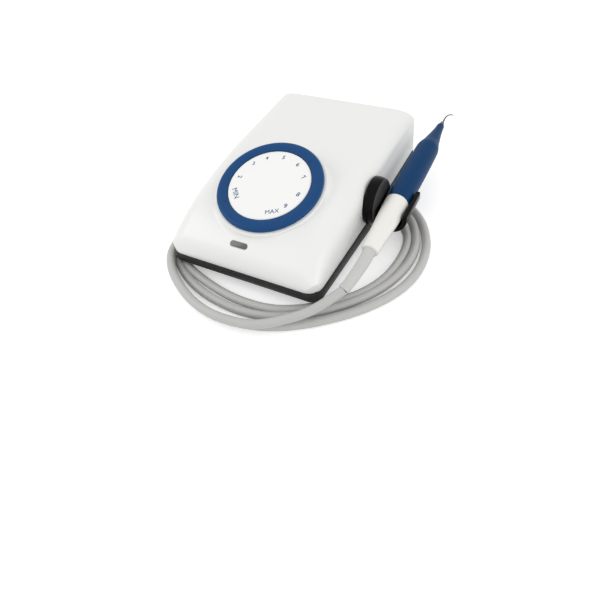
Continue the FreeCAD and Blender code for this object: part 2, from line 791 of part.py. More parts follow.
board_top = board.z + board.thickness
board_holes = []
for side in (-1, 1):
    for end in (-1, 1):
        board_holes.append((board.hole, board.post_x * side, board.post_reach * end))
node("main_board", put(plate("board_plate", board.thickness,
                             rectangle(board.width, board.length), board_holes), 0, board.y, board.z))
core = block("core_outer", transformer.width, transformer.length, transformer.height,
             transformer.x, transformer.y, board_top)
core_slot_left = block("core_slot_left", 4, transformer.length + 2, transformer.height - 10,
                       transformer.x - 8, transformer.y, board_top + 5)
core_slot_right = block("core_slot_right", 4, transformer.length + 2, transformer.height - 10,
                        transformer.x + 8, transformer.y, board_top + 5)
node("transformer_core", less("core_done", core, [core_slot_left, core_slot_right]))
winding_tools = [block("winding_left", 4, transformer.length + 6, transformer.height - 10,
                       transformer.x - 8, transformer.y, board_top + 5),
                 block("winding_right", 4, transformer.length + 6, transformer.height - 10,
                       transformer.x + 8, transformer.y, board_top + 5)]
node("transformer_windings", several("windings", winding_tools))
fins = [block("sink_base", sink.width, sink.length, sink.base, sink.x, sink.y, board_top)]
for i in range(5):
    x = sink.x + (sink.width / 2 - sink.fin / 2) * ((i - 2) / 2)
    fins.append(block("sink_fin_%d" % (i + 1), sink.fin, sink.length, sink.height - 1, x, sink.y,
                      board_top + 1))
node("heat_sink", join("sink_done", fins))
cans = []
for i in range(3):
    can = turned("can_%d" % (i + 1), [
        (0, 0),
        (cap.radius, 0),
        (cap.radius, cap.height - 0.8),
        (cap.radius - 0.8, cap.height),
        (0, cap.height),
    ])
    cans.append(put(can, cap.x + cap.pitch * i, cap.y, board_top))
node("capacitors", several("can_set", cans))
plugs = []
for i in range(2):
    plugs.append(block("plug_%d" % (i + 1), plug.width, plug.length, plug.height, plug.x,
                       plug.y + plug.pitch * i, board_top))
node("board_plugs", several("plug_set", plugs))

# ---------------------------------------------------------------- rear panel and water path

panel_face = length_2 - case.wall
panel_back = panel_face - panel.thickness
middle_z = panel.z - case.parting
panel_holes = [
    (power.body, power.x, middle_z),
    (pedal.body, pedal.x, middle_z),
    (gland.body, gland.x, middle_z),
    (flow.body, flow.x, middle_z),
    (inlet.body, inlet.x, middle_z),
    (panel.screw, panel.screw_x, middle_z),
    (panel.screw, -panel.screw_x, middle_z),
]
half = panel.width / 2
panel_plate = plate("panel_plate", panel.thickness,
                    [(-half, 0), (half, 0), (half, panel.height), (-half, panel.height)],
                    panel_holes)
node("rear_panel", put(panel_plate, 0, panel_face, case.parting, X, 90))
panel_pins = []
for side in (-1, 1):
    pin = turned("panel_pin_" + ("left" if side < 0 else "right"), [
        (0, -panel.screw_length),
        (panel.screw, -panel.screw_length),
        (panel.screw, 0),
        (panel.screw_head, 0),
        (panel.screw_head, 1.4),
        (0, 1.4),
    ])
    panel_pins.append(put(pin, panel.screw_x * side, length_2, panel.z, X, -90))
node("panel_screws", several("panel_pin_set", panel_pins))


def at_panel(thing, x):
    """Stand a fitting on the rear panel: its z = 0 is the panel's outer face, z up is rearward."""
    return put(thing, x, panel_face, panel.z, X, -90)


node("power_socket", at_panel(turned("power_body", [
    (0, power.body_length * -1),
    (power.body, power.body_length * -1),
    (power.body, 0),
    (power.collar, 0),
    (power.collar, power.collar_depth),
    (power.bore, power.collar_depth),
    (power.bore, power.collar_depth - power.bore_depth),
    (power.pin, power.collar_depth - power.bore_depth),
    (power.pin, power.collar_depth - 1),
    (0, power.collar_depth - 1),
]), power.x))
node("footswitch_socket", at_panel(turned("pedal_body", [
    (0, pedal.body_length * -1),
    (pedal.body, pedal.body_length * -1),
    (pedal.body, 0),
    (pedal.collar, 0),
    (pedal.collar, pedal.collar_depth),
    (pedal.bore, pedal.collar_depth),
    (pedal.bore, pedal.collar_depth - pedal.bore_depth),
    (0, pedal.collar_depth - pedal.bore_depth),
]), pedal.x))
node("hose_gland", at_panel(turned("gland_body", [
    (hose.radius, -panel.thickness - gland.inside),
    (gland.body, -panel.thickness - gland.inside),
    (gland.body, 0),
    (gland.nut, 0),
    (gland.nut, gland.nut_depth),
    (gland.body, gland.nut_depth + 1),
    (gland.sleeve_end, gland.nut_depth + gland.sleeve),
    (hose.radius, gland.nut_depth + gland.sleeve),
]), gland.x))
node("gland_nut", at_panel(turned("gland_nut_body", [
    (gland.body, -panel.thickness - 4),
    (gland.nut, -panel.thickness - 4),
    (gland.nut, -panel.thickness),
    (gland.body, -panel.thickness),
]), gland.x))
node("flow_valve", at_panel(turned("flow_body", [
    (0, -panel.thickness - flow.inside),
    (flow.body, -panel.thickness - flow.inside),
    (flow.body, 0),
    (flow.collar, 0),
    (flow.collar, flow.collar_depth),
    (flow.stem, flow.collar_depth),
    (flow.stem, flow.collar_depth + flow.stem_out),
    (0, flow.collar_depth + flow.stem_out),
]), flow.x))
knob_low = flow.collar_depth + knob.gap
knob_round = turned("knob_round", [
    (knob.bore, knob_low),
    (knob.radius, knob_low),
    (knob.radius, knob_low + knob.depth - 1),
    (knob.grip, knob_low + knob.depth),
    (0, knob_low + knob.depth),
    (0, flow.collar_depth + flow.stem_out + 0.4),
    (knob.bore, flow.collar_depth + flow.stem_out + 0.4),
])
at_panel(knob_round, flow.x)
grooves = []
for i in range(8):
    angle = math.radians(45 * i + 22.5)
    groove_x = flow.x + (knob.radius + 0.6) * math.cos(angle)
    groove_z = panel.z + (knob.radius + 0.6) * math.sin(angle)
    grooves.append(rod("groove_%d" % (i + 1), 1.4, knob.depth + 2, groove_x,
                       panel_face + knob_low - 1, groove_z, X, -90))
node("water_knob", less("knob_done", knob_round, grooves))
node("water_inlet", at_panel(turned("inlet_body", [
    (inlet.bore, -panel.thickness - inlet.inside),
    (inlet.body, -panel.thickness - inlet.inside),
    (inlet.body, 0),
    (inlet.flange, 0),
    (inlet.flange, inlet.flange_depth),
    (inlet.nipple, inlet.flange_depth),
    (inlet.nipple, inlet.flange_depth + inlet.length - 1),
    (inlet.nipple - 0.5, inlet.flange_depth + inlet.length),
    (inlet.bore, inlet.flange_depth + inlet.length),
]), inlet.x))
node("inlet_nut", at_panel(turned("inlet_nut_body", [
    (inlet.body, -panel.thickness - 3.5),
    (inlet.body + 3, -panel.thickness - 3.5),
    (inlet.body + 3, -panel.thickness),
    (inlet.body, -panel.thickness),
]), inlet.x))
valve_block = block("valve_block", valve.width, valve.length, valve.height, inlet.x, valve.y,
                    valve.z)
node("valve_body", valve_block)
node("valve_coil", rod("coil_can", valve.coil, valve.coil_height, inlet.x, valve.y,
                       valve.z + valve.height))
inlet_end = panel_back - inlet.inside
valve_rear = valve.y + valve.length / 2
feed = put(turned("feed_body", [
    (pipe.bore, 0),
    (pipe.radius, 0),
    (pipe.radius, inlet_end - valve_rear),
    (pipe.bore, inlet_end - valve_rear),
]), inlet.x, valve_rear, panel.z, X, -90)
node("inlet_tube", feed)


def bent_tube(points, bend, radius, bore):
    """A tube along straight runs joined by tangent arcs."""
    pieces = []
    last = points[0]
    for i in range(1, len(points) - 1):
        before = (points[i] - points[i - 1]).normalize()
        after = (points[i + 1] - points[i]).normalize()
        half_turn = before.getAngle(after) / 2
        back = bend[i - 1] * math.tan(half_turn)
        start = points[i] - before * back
        end = points[i] + after * back
        inward = (after - before).normalize()
        middle = points[i] + inward * (bend[i - 1] / math.cos(half_turn) - bend[i - 1])
        pieces.append(Part.makeLine(last, start))
        pieces.append(Part.Arc(start, middle, end).toShape())
        last = end
    pieces.append(Part.makeLine(last, points[-1]))
    path = Part.Wire(pieces)
    ahead = (points[1] - points[0]).normalize()
    ring = Part.Wire(Part.makeCircle(radius, points[0], ahead))
    tube = path.makePipeShell([ring], True, False)
    if bore == 0:
        return tube, path.Length
    hole = Part.Wire(Part.makeCircle(bore, points[0], ahead))
    return tube.cut(path.makePipeShell([hole], True, False)), path.Length


valve_left = inlet.x.value - valve.width.value / 2
flow_end = panel_back.value - flow.inside.value
outlet_y = valve.y.value
outlet, outlet_length = bent_tube(
    [Vector(valve_left, outlet_y, panel.z.value),
     Vector(flow.x.value, outlet_y, panel.z.value),
     Vector(flow.x.value, flow_end, panel.z.value)],
    [pipe.bend.value], pipe.radius.value, pipe.bore.value)
node("outlet_tube", shape_of("outlet_body", outlet))

# ---------------------------------------------------------------- handpiece and connector


def on_seat(thing):
    """Stand a piece on the handpiece's axis: z = 0 is the joint, z up is towards the tip."""
    return put(thing, seat.x, seat.y, seat.z, X, seat.lean - 90)


node("connector_shell", on_seat(turned("shell_body", [
    (0, shell.back),
    (shell.end, shell.back),
    (shell.neck, shell.back + shell.chamfer),
    (shell.waist, shell.waist_at),
    (shell.rim, -3),
    (shell.rim, -1),
    (shell.rim - 0.6, 0),
    (shell.cup, 0),
    (shell.cup, -contact.depth),
    (shell.bore, -contact.depth),
    (shell.neck - 2, shell.back + 5),
    (0, shell.back + 5),
])))
pin_ways = []
pins = []
for i in range(4):
    x = contact.pin_at * math.cos(math.radians(90 * i + 45))
    y = contact.pin_at * math.sin(math.radians(90 * i + 45))
    pin_ways.append((contact.pin, x, y))
block_round = disc("block_round", contact.depth, contact.radius, pin_ways)
spigot = disc("spigot", contact.spigot_length, contact.spigot, pin_ways)
seat_lean = seat.lean
put(block_round, seat.x, seat.y - contact.depth * cosine(seat_lean),
    seat.z - contact.depth * sine(seat_lean), X, seat.lean - 90)
on_seat(spigot)
node("contact_block", join("contact_done", [block_round, spigot]))


def in_seat(thing, x, y, z):
    """As on_seat, moved in the handpiece's own frame."""
    x, y, z = dim(x), dim(y), dim(z)
    along, up = cosine(seat.lean), sine(seat.lean)
    return put(thing, seat.x + x, seat.y + z * along + y * up, seat.z + z * up - y * along, X,
               seat.lean - 90)


for i in range(4):
    x = contact.pin_at * math.cos(math.radians(90 * i + 45))
    y = contact.pin_at * math.sin(math.radians(90 * i + 45))
    pins.append(in_seat(rod("pin_%d" % (i + 1), contact.pin, contact.pin_in +
                            contact.spigot_length + contact.pin_out), x, y, -contact.pin_in))
node("contact_pins", several("pin_set", pins))

socket_low = dim(0.6)
socket_end = contact.spigot_length + 6
socket_ways = [(contact.pin + 0.15, way[1], way[2]) for way in pin_ways]
socket_floor = disc("socket_floor", 4.5, sleeve.bore, socket_ways)
in_seat(socket_floor, 0, 0, contact.spigot_length + 1.5)
socket_wall = on_seat(turned("socket_wall", [
    (contact.spigot + 0.25, socket_low),
    (sleeve.bore, socket_low),
    (sleeve.bore, contact.spigot_length + 2),
    (contact.spigot + 0.25, contact.spigot_length + 2),
]))
node("handpiece_socket", join("socket_done", [socket_wall, socket_floor]))
node("handpiece_sleeve", on_seat(turned("sleeve_body", [
    (sleeve.bore, 0),
    (sleeve.root - 0.5, 0),
    (sleeve.root, 0.6),
    (sleeve.belly, sleeve.belly_at),
    (sleeve.shoulder, sleeve.shoulder_at),
    (sleeve.neck, sleeve.neck_at),
    (sleeve.throat, sleeve.throat_at),
    (sleeve.nose, sleeve.nose_at),
    (sleeve.tip, sleeve.length),
    (sleeve.outlet, sleeve.length),
    (sleeve.outlet, sleeve.outlet_at),
    (sleeve.bore_neck, sleeve.bore_neck_at),
    (sleeve.bore, sleeve.bore_end),
])))
node("transducer_mass", on_seat(turned("mass_body", [
    (0, horn.back),
    (horn.mass, horn.back),
    (horn.mass, horn.mass_end),
    (0, horn.mass_end),
])))
slices = []
for i in range(4):
    low = horn.mass_end + horn.slice * i
    slices.append(on_seat(turned("slice_%d" % (i + 1), [
        (horn.stack_bore, low),
        (horn.stack, low),
        (horn.stack, low + horn.slice),
        (horn.stack_bore, low + horn.slice),
    ])))
node("piezo_rings", several("slice_set", slices))
stack_end = horn.mass_end + horn.slice * 4
node("transducer_horn", on_seat(turned("horn_body", [
    (0, horn.mass_end),
    (horn.stack_bore, horn.mass_end),
    (horn.stack_bore, stack_end),
    (horn.front, stack_end),
    (horn.front, horn.front_end),
    (horn.flange, horn.front_end),
    (horn.flange, horn.flange_end),
    (horn.step, horn.flange_end),
    (horn.step, horn.step_end),
    (horn.thin, horn.thin_at),
    (horn.thin, horn.end),
    (horn.thread, horn.end),
    (horn.thread, horn.end - horn.thread_depth),
    (0, horn.end - horn.thread_depth),
])))
node("horn_seal", on_seat(turned("seal_body", [
    (horn.step, horn.flange_end),
    (sleeve.bore, horn.flange_end),
    (sleeve.bore, horn.flange_end + 2),
    (horn.step, horn.flange_end + 2),
])))
tip_straight = Part.makeCylinder(tip.stub.value, tip.collar_start.value - horn.end.value
                                 + horn.thread_depth.value - 0.5)
tip_straight.translate(Vector(0, 0, horn.end.value - horn.thread_depth.value + 0.5))
tip_collar = Part.makeCylinder(tip.collar.value, tip.collar_end.value - tip.collar_start.value)
tip_collar.translate(Vector(0, 0, tip.collar_start.value))
tip_curve = Part.BSplineCurve()
tip_curve.interpolate(Points=[
    Vector(0, 0, tip.collar_end.value - 0.5),
    Vector(0, 0, tip.bend_start.value),
    Vector(0.24 * tip.hook.value, 0.24 * tip.droop.value, tip.bend_start.value + 5),
    Vector(tip.hook.value, tip.droop.value, tip.reach.value),
])
tip_path = Part.Wire(tip_curve.toShape())
first_ring = Part.Wire(Part.makeCircle(tip.shank.value, tip_curve.value(tip_curve.FirstParameter),
                                       tip_curve.tangent(tip_curve.FirstParameter)[0]))
last_ring = Part.Wire(Part.makeCircle(tip.end.value, tip_curve.value(tip_curve.LastParameter),
                                      tip_curve.tangent(tip_curve.LastParameter)[0]))
tip_blade = tip_path.makePipeShell([first_ring, last_ring], True, False)
tip_shape = tip_straight.fuse([tip_collar, tip_blade]).removeSplitter()
seat_place = Placement(Vector(seat.x.value, seat.y.value, seat.z.value),
                       Rotation(X, seat.lean.value - 90))
node("scaler_tip", shape_of("tip_body", tip_shape, seat_place))

# ---------------------------------------------------------------- holder

holder_round = rod("holder_round", holder.disc, holder.thickness, width_2, holder.y, holder.z, Y, 90)
gutter_length = holder.rear - holder.front
outer_r = holder.inner + holder.wall
seat_back = seat.y - holder.front
gutter_y = holder.front
gutter_z = seat.z - seat_back * (sine(seat.lean) / cosine(seat.lean))
turn_down = seat.lean - 90
gutter_outer = rod("gutter_outer", outer_r, gutter_length, seat.x, gutter_y, gutter_z, X, turn_down)
gutter_sides = doc.addObject("Part::Box", "gutter_sides")
bind(gutter_sides, "Length", outer_r * 2)
bind(gutter_sides, "Width", gutter_length)
bind(gutter_sides, "Height", holder.arm)
put(gutter_sides, seat.x - outer_r, gutter_y, gutter_z, X, seat.lean)
gutter_lid = doc.addObject("Part::Box", "gutter_lid")
bind(gutter_lid, "Length", outer_r * 2 + 10)
bind(gutter_lid, "Width", gutter_length + 10)
bind(gutter_lid, "Height", 30)
put(gutter_lid, seat.x - outer_r - 5, gutter_y - 5, gutter_z, X, seat.lean)
gutter_half = less("gutter_half", gutter_outer, [gutter_lid])
gutter_inner = rod("gutter_inner", holder.inner, gutter_length + 10, seat.x, gutter_y - 5,
                   gutter_z - 5 * (sine(seat.lean) / cosine(seat.lean)), X, turn_down)
gutter_open = doc.addObject("Part::Box", "gutter_open")
bind(gutter_open, "Length", holder.inner * 2)
bind(gutter_open, "Width", gutter_length + 10)
bind(gutter_open, "Height", 40)
put(gutter_open, seat.x - holder.inner, gutter_y - 5, gutter_z, X, seat.lean)
shoulder_pad = rod("shoulder_pad", holder.disc - 3, holder.pad, width_2 - holder.pad, holder.y,
                   holder.z, Y, 90)
pad_below = block("pad_below", 40, 60, 40, width_2, holder.y, holder.z - 40)
shoulder_fill = less("shoulder_fill", shoulder_pad, [outer_form, pad_below])
holder_mass = join("holder_mass", [holder_round, shoulder_fill, gutter_half, gutter_sides])
screw_way = rod("holder_screw_way", holder.screw, 6, width_2 - 1, holder.y, holder.screw_z, Y, 90)
node("handpiece_holder", less("holder_done", holder_mass, [gutter_inner, gutter_open, screw_way]))
holder_pin = turned("holder_pin", [
    (0, -holder.screw_head / 2),
    (holder.screw_head, -holder.screw_head / 2),
    (holder.screw_head, 0),
    (holder.screw, 0),
    (holder.screw, case.wall + 5),
    (0, case.wall + 5),
])
node("holder_screw", put(holder_pin, width_2 - case.wall, holder.y, holder.screw_z, Y, 90))

# ---------------------------------------------------------------- hose

shell_end = Vector(seat.x.value, seat.y.value + shell.back.value * math.cos(
    math.radians(seat.lean.value)), seat.z.value + shell.back.value * math.sin(
        math.radians(seat.lean.value)))
boot_points = [
    shell_end,
    Vector(84.3, -60.0, 26.6),
    Vector(83.1, -70.0, 24.6),
    Vector(81.4, -78.0, 22.3),
    Vector(79.2, -84.8, 20.0),
]
boot_curve = Part.BSplineCurve()
boot_curve.interpolate(Points=boot_points)
boot_path = Part.Wire(boot_curve.toShape())
boot_way = Vector(0, -math.cos(math.radians(seat.lean.value)), -math.sin(
    math.radians(seat.lean.value)))
boot_out = boot_curve.tangent(boot_curve.LastParameter)[0]
boot_rings = [
    Part.Wire(Part.makeCircle(5.5, boot_points[0], boot_curve.tangent(
        boot_curve.FirstParameter)[0])),
    Part.Wire(Part.makeCircle(4.4, boot_points[-1], boot_out)),
]
boot = boot_path.makePipeShell(boot_rings, True, False)
end_plane = Part.makeBox(30, 30, 10, Vector(-15, -15, 0))
end_plane.Placement = Placement(shell_end, Rotation(Vector(0, 0, 1), boot_way * -1)).multiply(
    end_plane.Placement)
node("hose_boot", shape_of("boot_body", boot.cut(end_plane)))


def hose_run(name, points):
    """One uncoiled stretch of hose; each arc takes 0.45 of its shorter run."""
    bends = []
    for i in range(1, len(points) - 1):
        before = points[i] - points[i - 1]
        after = points[i + 1] - points[i]
        half_turn = before.getAngle(after) / 2
        bends.append(0.45 * min(before.Length, after.Length) / math.tan(half_turn))
    tube, length = bent_tube(points, bends, hose.radius.value, 0)
    area = math.pi * hose.radius.value ** 2
    print(name, "bend radii", [round(b, 1) for b in bends], "length", round(length, 1),
          "volume share", round(tube.Volume / (area * length), 4))
    return tube


lead_first = boot_points[-1]
lead = hose_run("lead", [
    lead_first,
    lead_first + boot_out * 12,
    Vector(61.5, -109.5, 13.5),
    Vector(36.5, -126.5, 10.7),
    Vector(7.6, -133.3, 10.4),
])
node("hose_lead", shape_of("lead_body", lead))
gland_in = panel_back.value - gland.inside.value - 4
tail = hose_run("tail", [
    Vector(gland.x.value, gland_in, panel.z.value),
    Vector(gland.x.value, 126.0, panel.z.value),
    Vector(-14.0, 146.0, 12.0),
    Vector(-46.0, 148.0, 3.5),
    Vector(-70.0, 126.0, 3.5),
    Vector(-80.0, 88.0, 3.5),
    Vector(-87.0, 52.0, 3.5),
    Vector(-89.0, 20.0, 3.5),
])
node("hose_tail", shape_of("tail_body", tail))

coil_outside = [
    (-8, -137.5), (24, -135.5), (56, -121), (73, -108), (93, -89), (110, -67), (117.5, -48),
    (120, -27), (117, -9), (108, 10), (95, 30), (76, 44), (45, 53), (0, 55.5), (-40, 53.5),
    (-68, 46), (-88, 36), (-93.5, 14), (-92, -10), (-88.5, -32), (-86, -60), (-82.5, -86),
    (-72, -103.5), (-54, -119), (-31, -132),
]
coil_inside = [
    (8, -105), (32, -104), (50, -95), (71, -78), (81, -67), (93, -40), (95, -21), (92, -7),
    (84, 6), (70, 16), (48, 26), (15, 31), (-25, 31), (-48, 28), (-61, 18.5), (-65.3, 0),
    (-65.3, -30), (-65.2, -58), (-62.5, -75), (-54, -87.5), (-39, -94.5), (-15, -101.5),
]


def loop_face(points):
    curve = Part.BSplineCurve()
    curve.interpolate(Points=[Vector(x, y, 0) for x, y in points], PeriodicFlag=True)
    return Part.Face(Part.Wire(curve.toShape()))


coil = loop_face(coil_outside).cut(loop_face(coil_inside)).extrude(
    Vector(0, 0, hose.coil_height.value))
node("hose_coil", shape_of("coil_body", coil))

# ---------------------------------------------------------------- write

doc.recompute()
for thing in doc.Objects:
    if "Invalid" in thing.State or "Error" in thing.State:
        raise RuntimeError("%s did not build: %s" % (thing.Name, thing.State))
for name, thing in nodes.items():
    shape = thing.Shape.copy()
    shape.translate(Vector(-origin.x.value, -origin.y.value, 0))
    if shape.isNull() or not shape.isValid() or not shape.Solids:
        raise RuntimeError("%s has no valid solid" % name)
    shape.exportStep("parts/%s.step" % name)
    box = shape.BoundBox
    print("%-22s solids %d volume %9.1f  x %7.1f %7.1f  y %7.1f %7.1f  z %6.1f %6.1f" % (
        name, len(shape.Solids), shape.Volume, box.XMin, box.XMax, box.YMin, box.YMax,
        box.ZMin, box.ZMax))
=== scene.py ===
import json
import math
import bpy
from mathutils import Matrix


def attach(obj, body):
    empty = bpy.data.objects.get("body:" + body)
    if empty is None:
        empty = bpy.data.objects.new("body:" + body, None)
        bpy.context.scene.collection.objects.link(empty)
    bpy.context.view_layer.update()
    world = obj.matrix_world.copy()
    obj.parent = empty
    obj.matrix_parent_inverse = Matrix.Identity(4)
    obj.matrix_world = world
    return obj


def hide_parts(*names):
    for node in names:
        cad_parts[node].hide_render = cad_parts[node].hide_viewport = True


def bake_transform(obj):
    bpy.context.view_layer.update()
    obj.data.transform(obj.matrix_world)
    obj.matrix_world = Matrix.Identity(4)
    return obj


bl_info = {
    "name": "Ultrasonic scaler",
    "version": (1, 0, 0),
    "blender": (4, 5, 0),
    "location": "View3D > Sidebar > Scaler",
    "description": "Builds the visible pieces and finishes of a tabletop scaler",
    "category": "Object",
}

import bmesh
import bpy
from bpy.props import FloatProperty, FloatVectorProperty, PointerProperty
from mathutils import Euler, Matrix, Vector

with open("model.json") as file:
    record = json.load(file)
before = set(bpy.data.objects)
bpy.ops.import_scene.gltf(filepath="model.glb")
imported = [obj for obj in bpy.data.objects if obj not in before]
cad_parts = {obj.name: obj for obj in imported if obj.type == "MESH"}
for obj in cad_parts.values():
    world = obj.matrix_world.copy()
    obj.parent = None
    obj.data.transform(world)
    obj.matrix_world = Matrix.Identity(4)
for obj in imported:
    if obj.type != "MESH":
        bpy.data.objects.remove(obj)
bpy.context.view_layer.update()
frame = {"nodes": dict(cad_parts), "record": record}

# The case's own millimetres start at the middle of the case; the frame's origin lies here.
ORIGIN = Vector((16.65, 13.95, 0.0))
MM = 0.001


def at(x, y, z):
    """A point in the case's millimetres as a point of the frame."""
    return (Vector((x, y, z)) - ORIGIN) * MM


def stand(x, y, z, degrees):
    """Matrix that stands a piece drawn in millimetres at a point, turned about X."""
    place = Matrix.Translation(at(x, y, z))
    return place @ Matrix.Rotation(math.radians(degrees), 4, "X") @ Matrix.Scale(MM, 4)


def along_handpiece(context):
    """Matrix for a piece drawn in millimetres along the handpiece, from its joint."""
    seat = context.scene.scaler_handpiece
    return stand(seat.x, seat.y, seat.z, seat.lean - 90)


# ------------------------------------------------------------------ settings


class ScalerCaseSettings(bpy.types.PropertyGroup):
    """Sizes of the power unit's case, in millimetres"""

    half_width: FloatProperty(name="Half width", description="Middle plane to side wall",
                              default=65.0)
    half_length: FloatProperty(name="Half length", description="Middle to front wall",
                               default=97.2)
    parting: FloatProperty(name="Parting height", description="Cover's lower edge", default=19.2)
    top: FloatProperty(name="Top height", description="Flat rear of the top", default=53.3)
    front_drop: FloatProperty(name="Front drop", description="Fall of the top to the front",
                              default=25.3)
    slope_start: FloatProperty(name="Slope start", description="Where the top starts to fall",
                               default=14.9)
    slope_power: FloatProperty(name="Slope power", description="Fullness of the front slope",
                               default=3.73)
    crease_front: FloatProperty(name="Front crease", description="Flat top's edge from the side",
                                default=13.4)
    crease_rear: FloatProperty(name="Rear crease", description="Flat top's edge from the side",
                               default=22.8)
    shoulder_front: FloatProperty(name="Front shoulder", description="Share of the height",
                                  default=0.97)
    shoulder_rear: FloatProperty(name="Rear shoulder", description="Share of the height",
                                 default=0.424)
    front_corner: FloatProperty(name="Front corner", description="Radius in plan", default=10.5)
    back_corner: FloatProperty(name="Back corner", description="Radius in plan", default=5.5)
    front_taper: FloatProperty(name="Front taper", description="Narrowing at the front",
                               default=0.4)
    taper_start: FloatProperty(name="Taper start", description="Where the sides turn in",
                               default=-40.0)
    edge_round: FloatProperty(name="Rear edge", description="Radius of the rear top edge",
                              default=13.0)
    front_round: FloatProperty(name="Front edge", description="Radius of the front edge",
                               default=8.0)
    parting_fall: FloatProperty(name="Parting fall", description="Fall of the cover's edge per mm",
                                default=0.055)
    wall: FloatProperty(name="Wall", description="Thickness of the cover", default=2.5)


class ScalerDialSettings(bpy.types.PropertyGroup):
    """Place and sizes of the power dial, in millimetres"""

    y: FloatProperty(name="Y", description="Centre along the case", default=-39.4)
    z: FloatProperty(name="Z", description="Centre of the ring's top", default=58.0)
    tilt: FloatProperty(name="Tilt", description="Lean towards the front, in degrees", default=12.7)
    ring: FloatProperty(name="Ring radius", description="Outside of the ring", default=41.4)
    ring_hole: FloatProperty(name="Ring hole", description="Inside of the ring", default=32.6)
    plate: FloatProperty(name="Plate radius", description="Outside of the scale", default=32.2)
    deck: FloatProperty(name="Deck radius", description="Raised seat of the ring", default=43.9)
    number_radius: FloatProperty(name="Number radius", description="Middle of the numbers",
                                 default=26.2)


class ScalerHandpieceSettings(bpy.types.PropertyGroup):
    """Place of the handpiece's joint, in millimetres"""

    x: FloatProperty(name="X", description="Joint across the case", default=84.5)
    y: FloatProperty(name="Y", description="Joint along the case", default=6.7)
    z: FloatProperty(name="Z", description="Joint over the table", default=29.7)
    lean: FloatProperty(name="Lean", description="Rise towards the tip, in degrees", default=2.15)


class ScalerHoseSettings(bpy.types.PropertyGroup):
    """Size of the hose, in metres"""

    radius: FloatProperty(name="Radius", description="Half the hose's diameter", default=0.0035,
                          subtype="DISTANCE", unit="LENGTH")


class ScalerColourSettings(bpy.types.PropertyGroup):
    """Main colours, linear"""

    cover: FloatVectorProperty(name="Cover", description="Moulded cover", subtype="COLOR",
                               default=(0.84, 0.84, 0.826))
    ring: FloatVectorProperty(name="Ring", description="Dial ring", subtype="COLOR",
                              default=(0.008, 0.062, 0.19))
    sleeve: FloatVectorProperty(name="Sleeve", description="Handpiece sleeve", subtype="COLOR",
                                default=(0.004, 0.042, 0.128))
    hose: FloatVectorProperty(name="Hose", description="Silicone hose", subtype="COLOR",
                              default=(0.5, 0.5, 0.485))


class ScalerStageSettings(bpy.types.PropertyGroup):
    """Camera, light and floor"""

    camera_at: FloatVectorProperty(name="Camera", description="Place of the camera",
                                   subtype="TRANSLATION", default=(0.17789, -0.30761, 0.29667))
    camera_turn: FloatVectorProperty(name="Turn", description="Camera angles in degrees",
                                     default=(39.856, 7.121, 27.856))
    lens: FloatProperty(name="Lens", description="Focal length in millimetres", default=31.517)
    sky: FloatProperty(name="Sky", description="Light from all round", default=0.86, min=0.0)
    key: FloatProperty(name="Key", description="Power of the large lamp", default=1.35, min=0.0)
    floor_lift: FloatProperty(name="Floor lift", description="Whitening of the floor in view",
                              default=0.42, min=0.0)


# ------------------------------------------------------------------ making meshes


def keep_piece(bm, name, body, material, replaces=(), sharp=38.0):
    """Turn a bmesh into a finished piece that rides on a body."""
    mesh = bpy.data.meshes.new(name)
    bm.to_mesh(mesh)
    bm.free()
    mesh.shade_smooth()
    mesh.set_sharp_from_angle(angle=math.radians(sharp))
    mesh.materials.append(material)
    piece = bpy.data.objects.new(name, mesh)
    bpy.context.collection.objects.link(piece)
    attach(piece, body)
    if replaces:
        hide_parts(*replaces)
    return piece


def lathe(profile, place, steps, closed=False):
    """A turned form from radius and height pairs, moved to its place."""
    bm = bmesh.new()
    points = [bm.verts.new((radius, 0.0, height)) for radius, height in profile]
    ends = zip(points, points[1:] + points[:1]) if closed else zip(points, points[1:])
    edges = [bm.edges.new(pair) for pair in ends]
    bmesh.ops.spin(bm, geom=points + edges, cent=(0, 0, 0), axis=(0, 0, 1), dvec=(0, 0, 0),
                   angle=math.tau, steps=steps, use_merge=True)
    bmesh.ops.remove_doubles(bm, verts=bm.verts, dist=0.0005)
    bmesh.ops.recalc_face_normals(bm, faces=bm.faces)
    bmesh.ops.transform(bm, matrix=place, verts=bm.verts)
    return bm


def round_edges(bm, edges, width, segments):
    """Round edges off, all by the same width."""
    bmesh.ops.bevel(bm, geom=edges, offset=width, affect="EDGES", segments=segments,
                    profile=0.5, material=-1, clamp_overlap=True)


def sharp_edges(bm, degrees):
    """Edges whose faces meet at more than an angle."""
    limit = math.radians(degrees)
    return [edge for edge in bm.edges
            if len(edge.link_faces) == 2 and edge.calc_face_angle() > limit]


def extruded(bm, faces):
    """Extrude faces and give the new vertices, still in the old place."""
    made = bmesh.ops.extrude_face_region(bm, geom=faces)["geom"]
    return [item for item in made if isinstance(item, bmesh.types.BMVert)]


def smooth_line(line, steps_for):
    """More points along a line, on a smooth curve through its own points."""
    line = [Vector(point) for point in line]
    smooth = []
    for i, (here, there) in enumerate(zip(line, line[1:])):
        before = line[max(i - 1, 0)]
        beyond = line[min(i + 2, len(line) - 1)]
        steps = steps_for((there - here).length)
        for step in range(steps):
            t = step / steps
            smooth.append(0.5 * ((2 * here) + (there - before) * t
                                 + (2 * before - 5 * here + 4 * there - beyond) * t * t
                                 + (3 * here - before - 3 * there + beyond) * t ** 3))
    return smooth + line[-1:]


def cast_points(profile):
    """A turned profile with three points more in each of its spans."""
    return [tuple(point) for point in smooth_line(profile, lambda length: 4)]


# ------------------------------------------------------------------ finishes


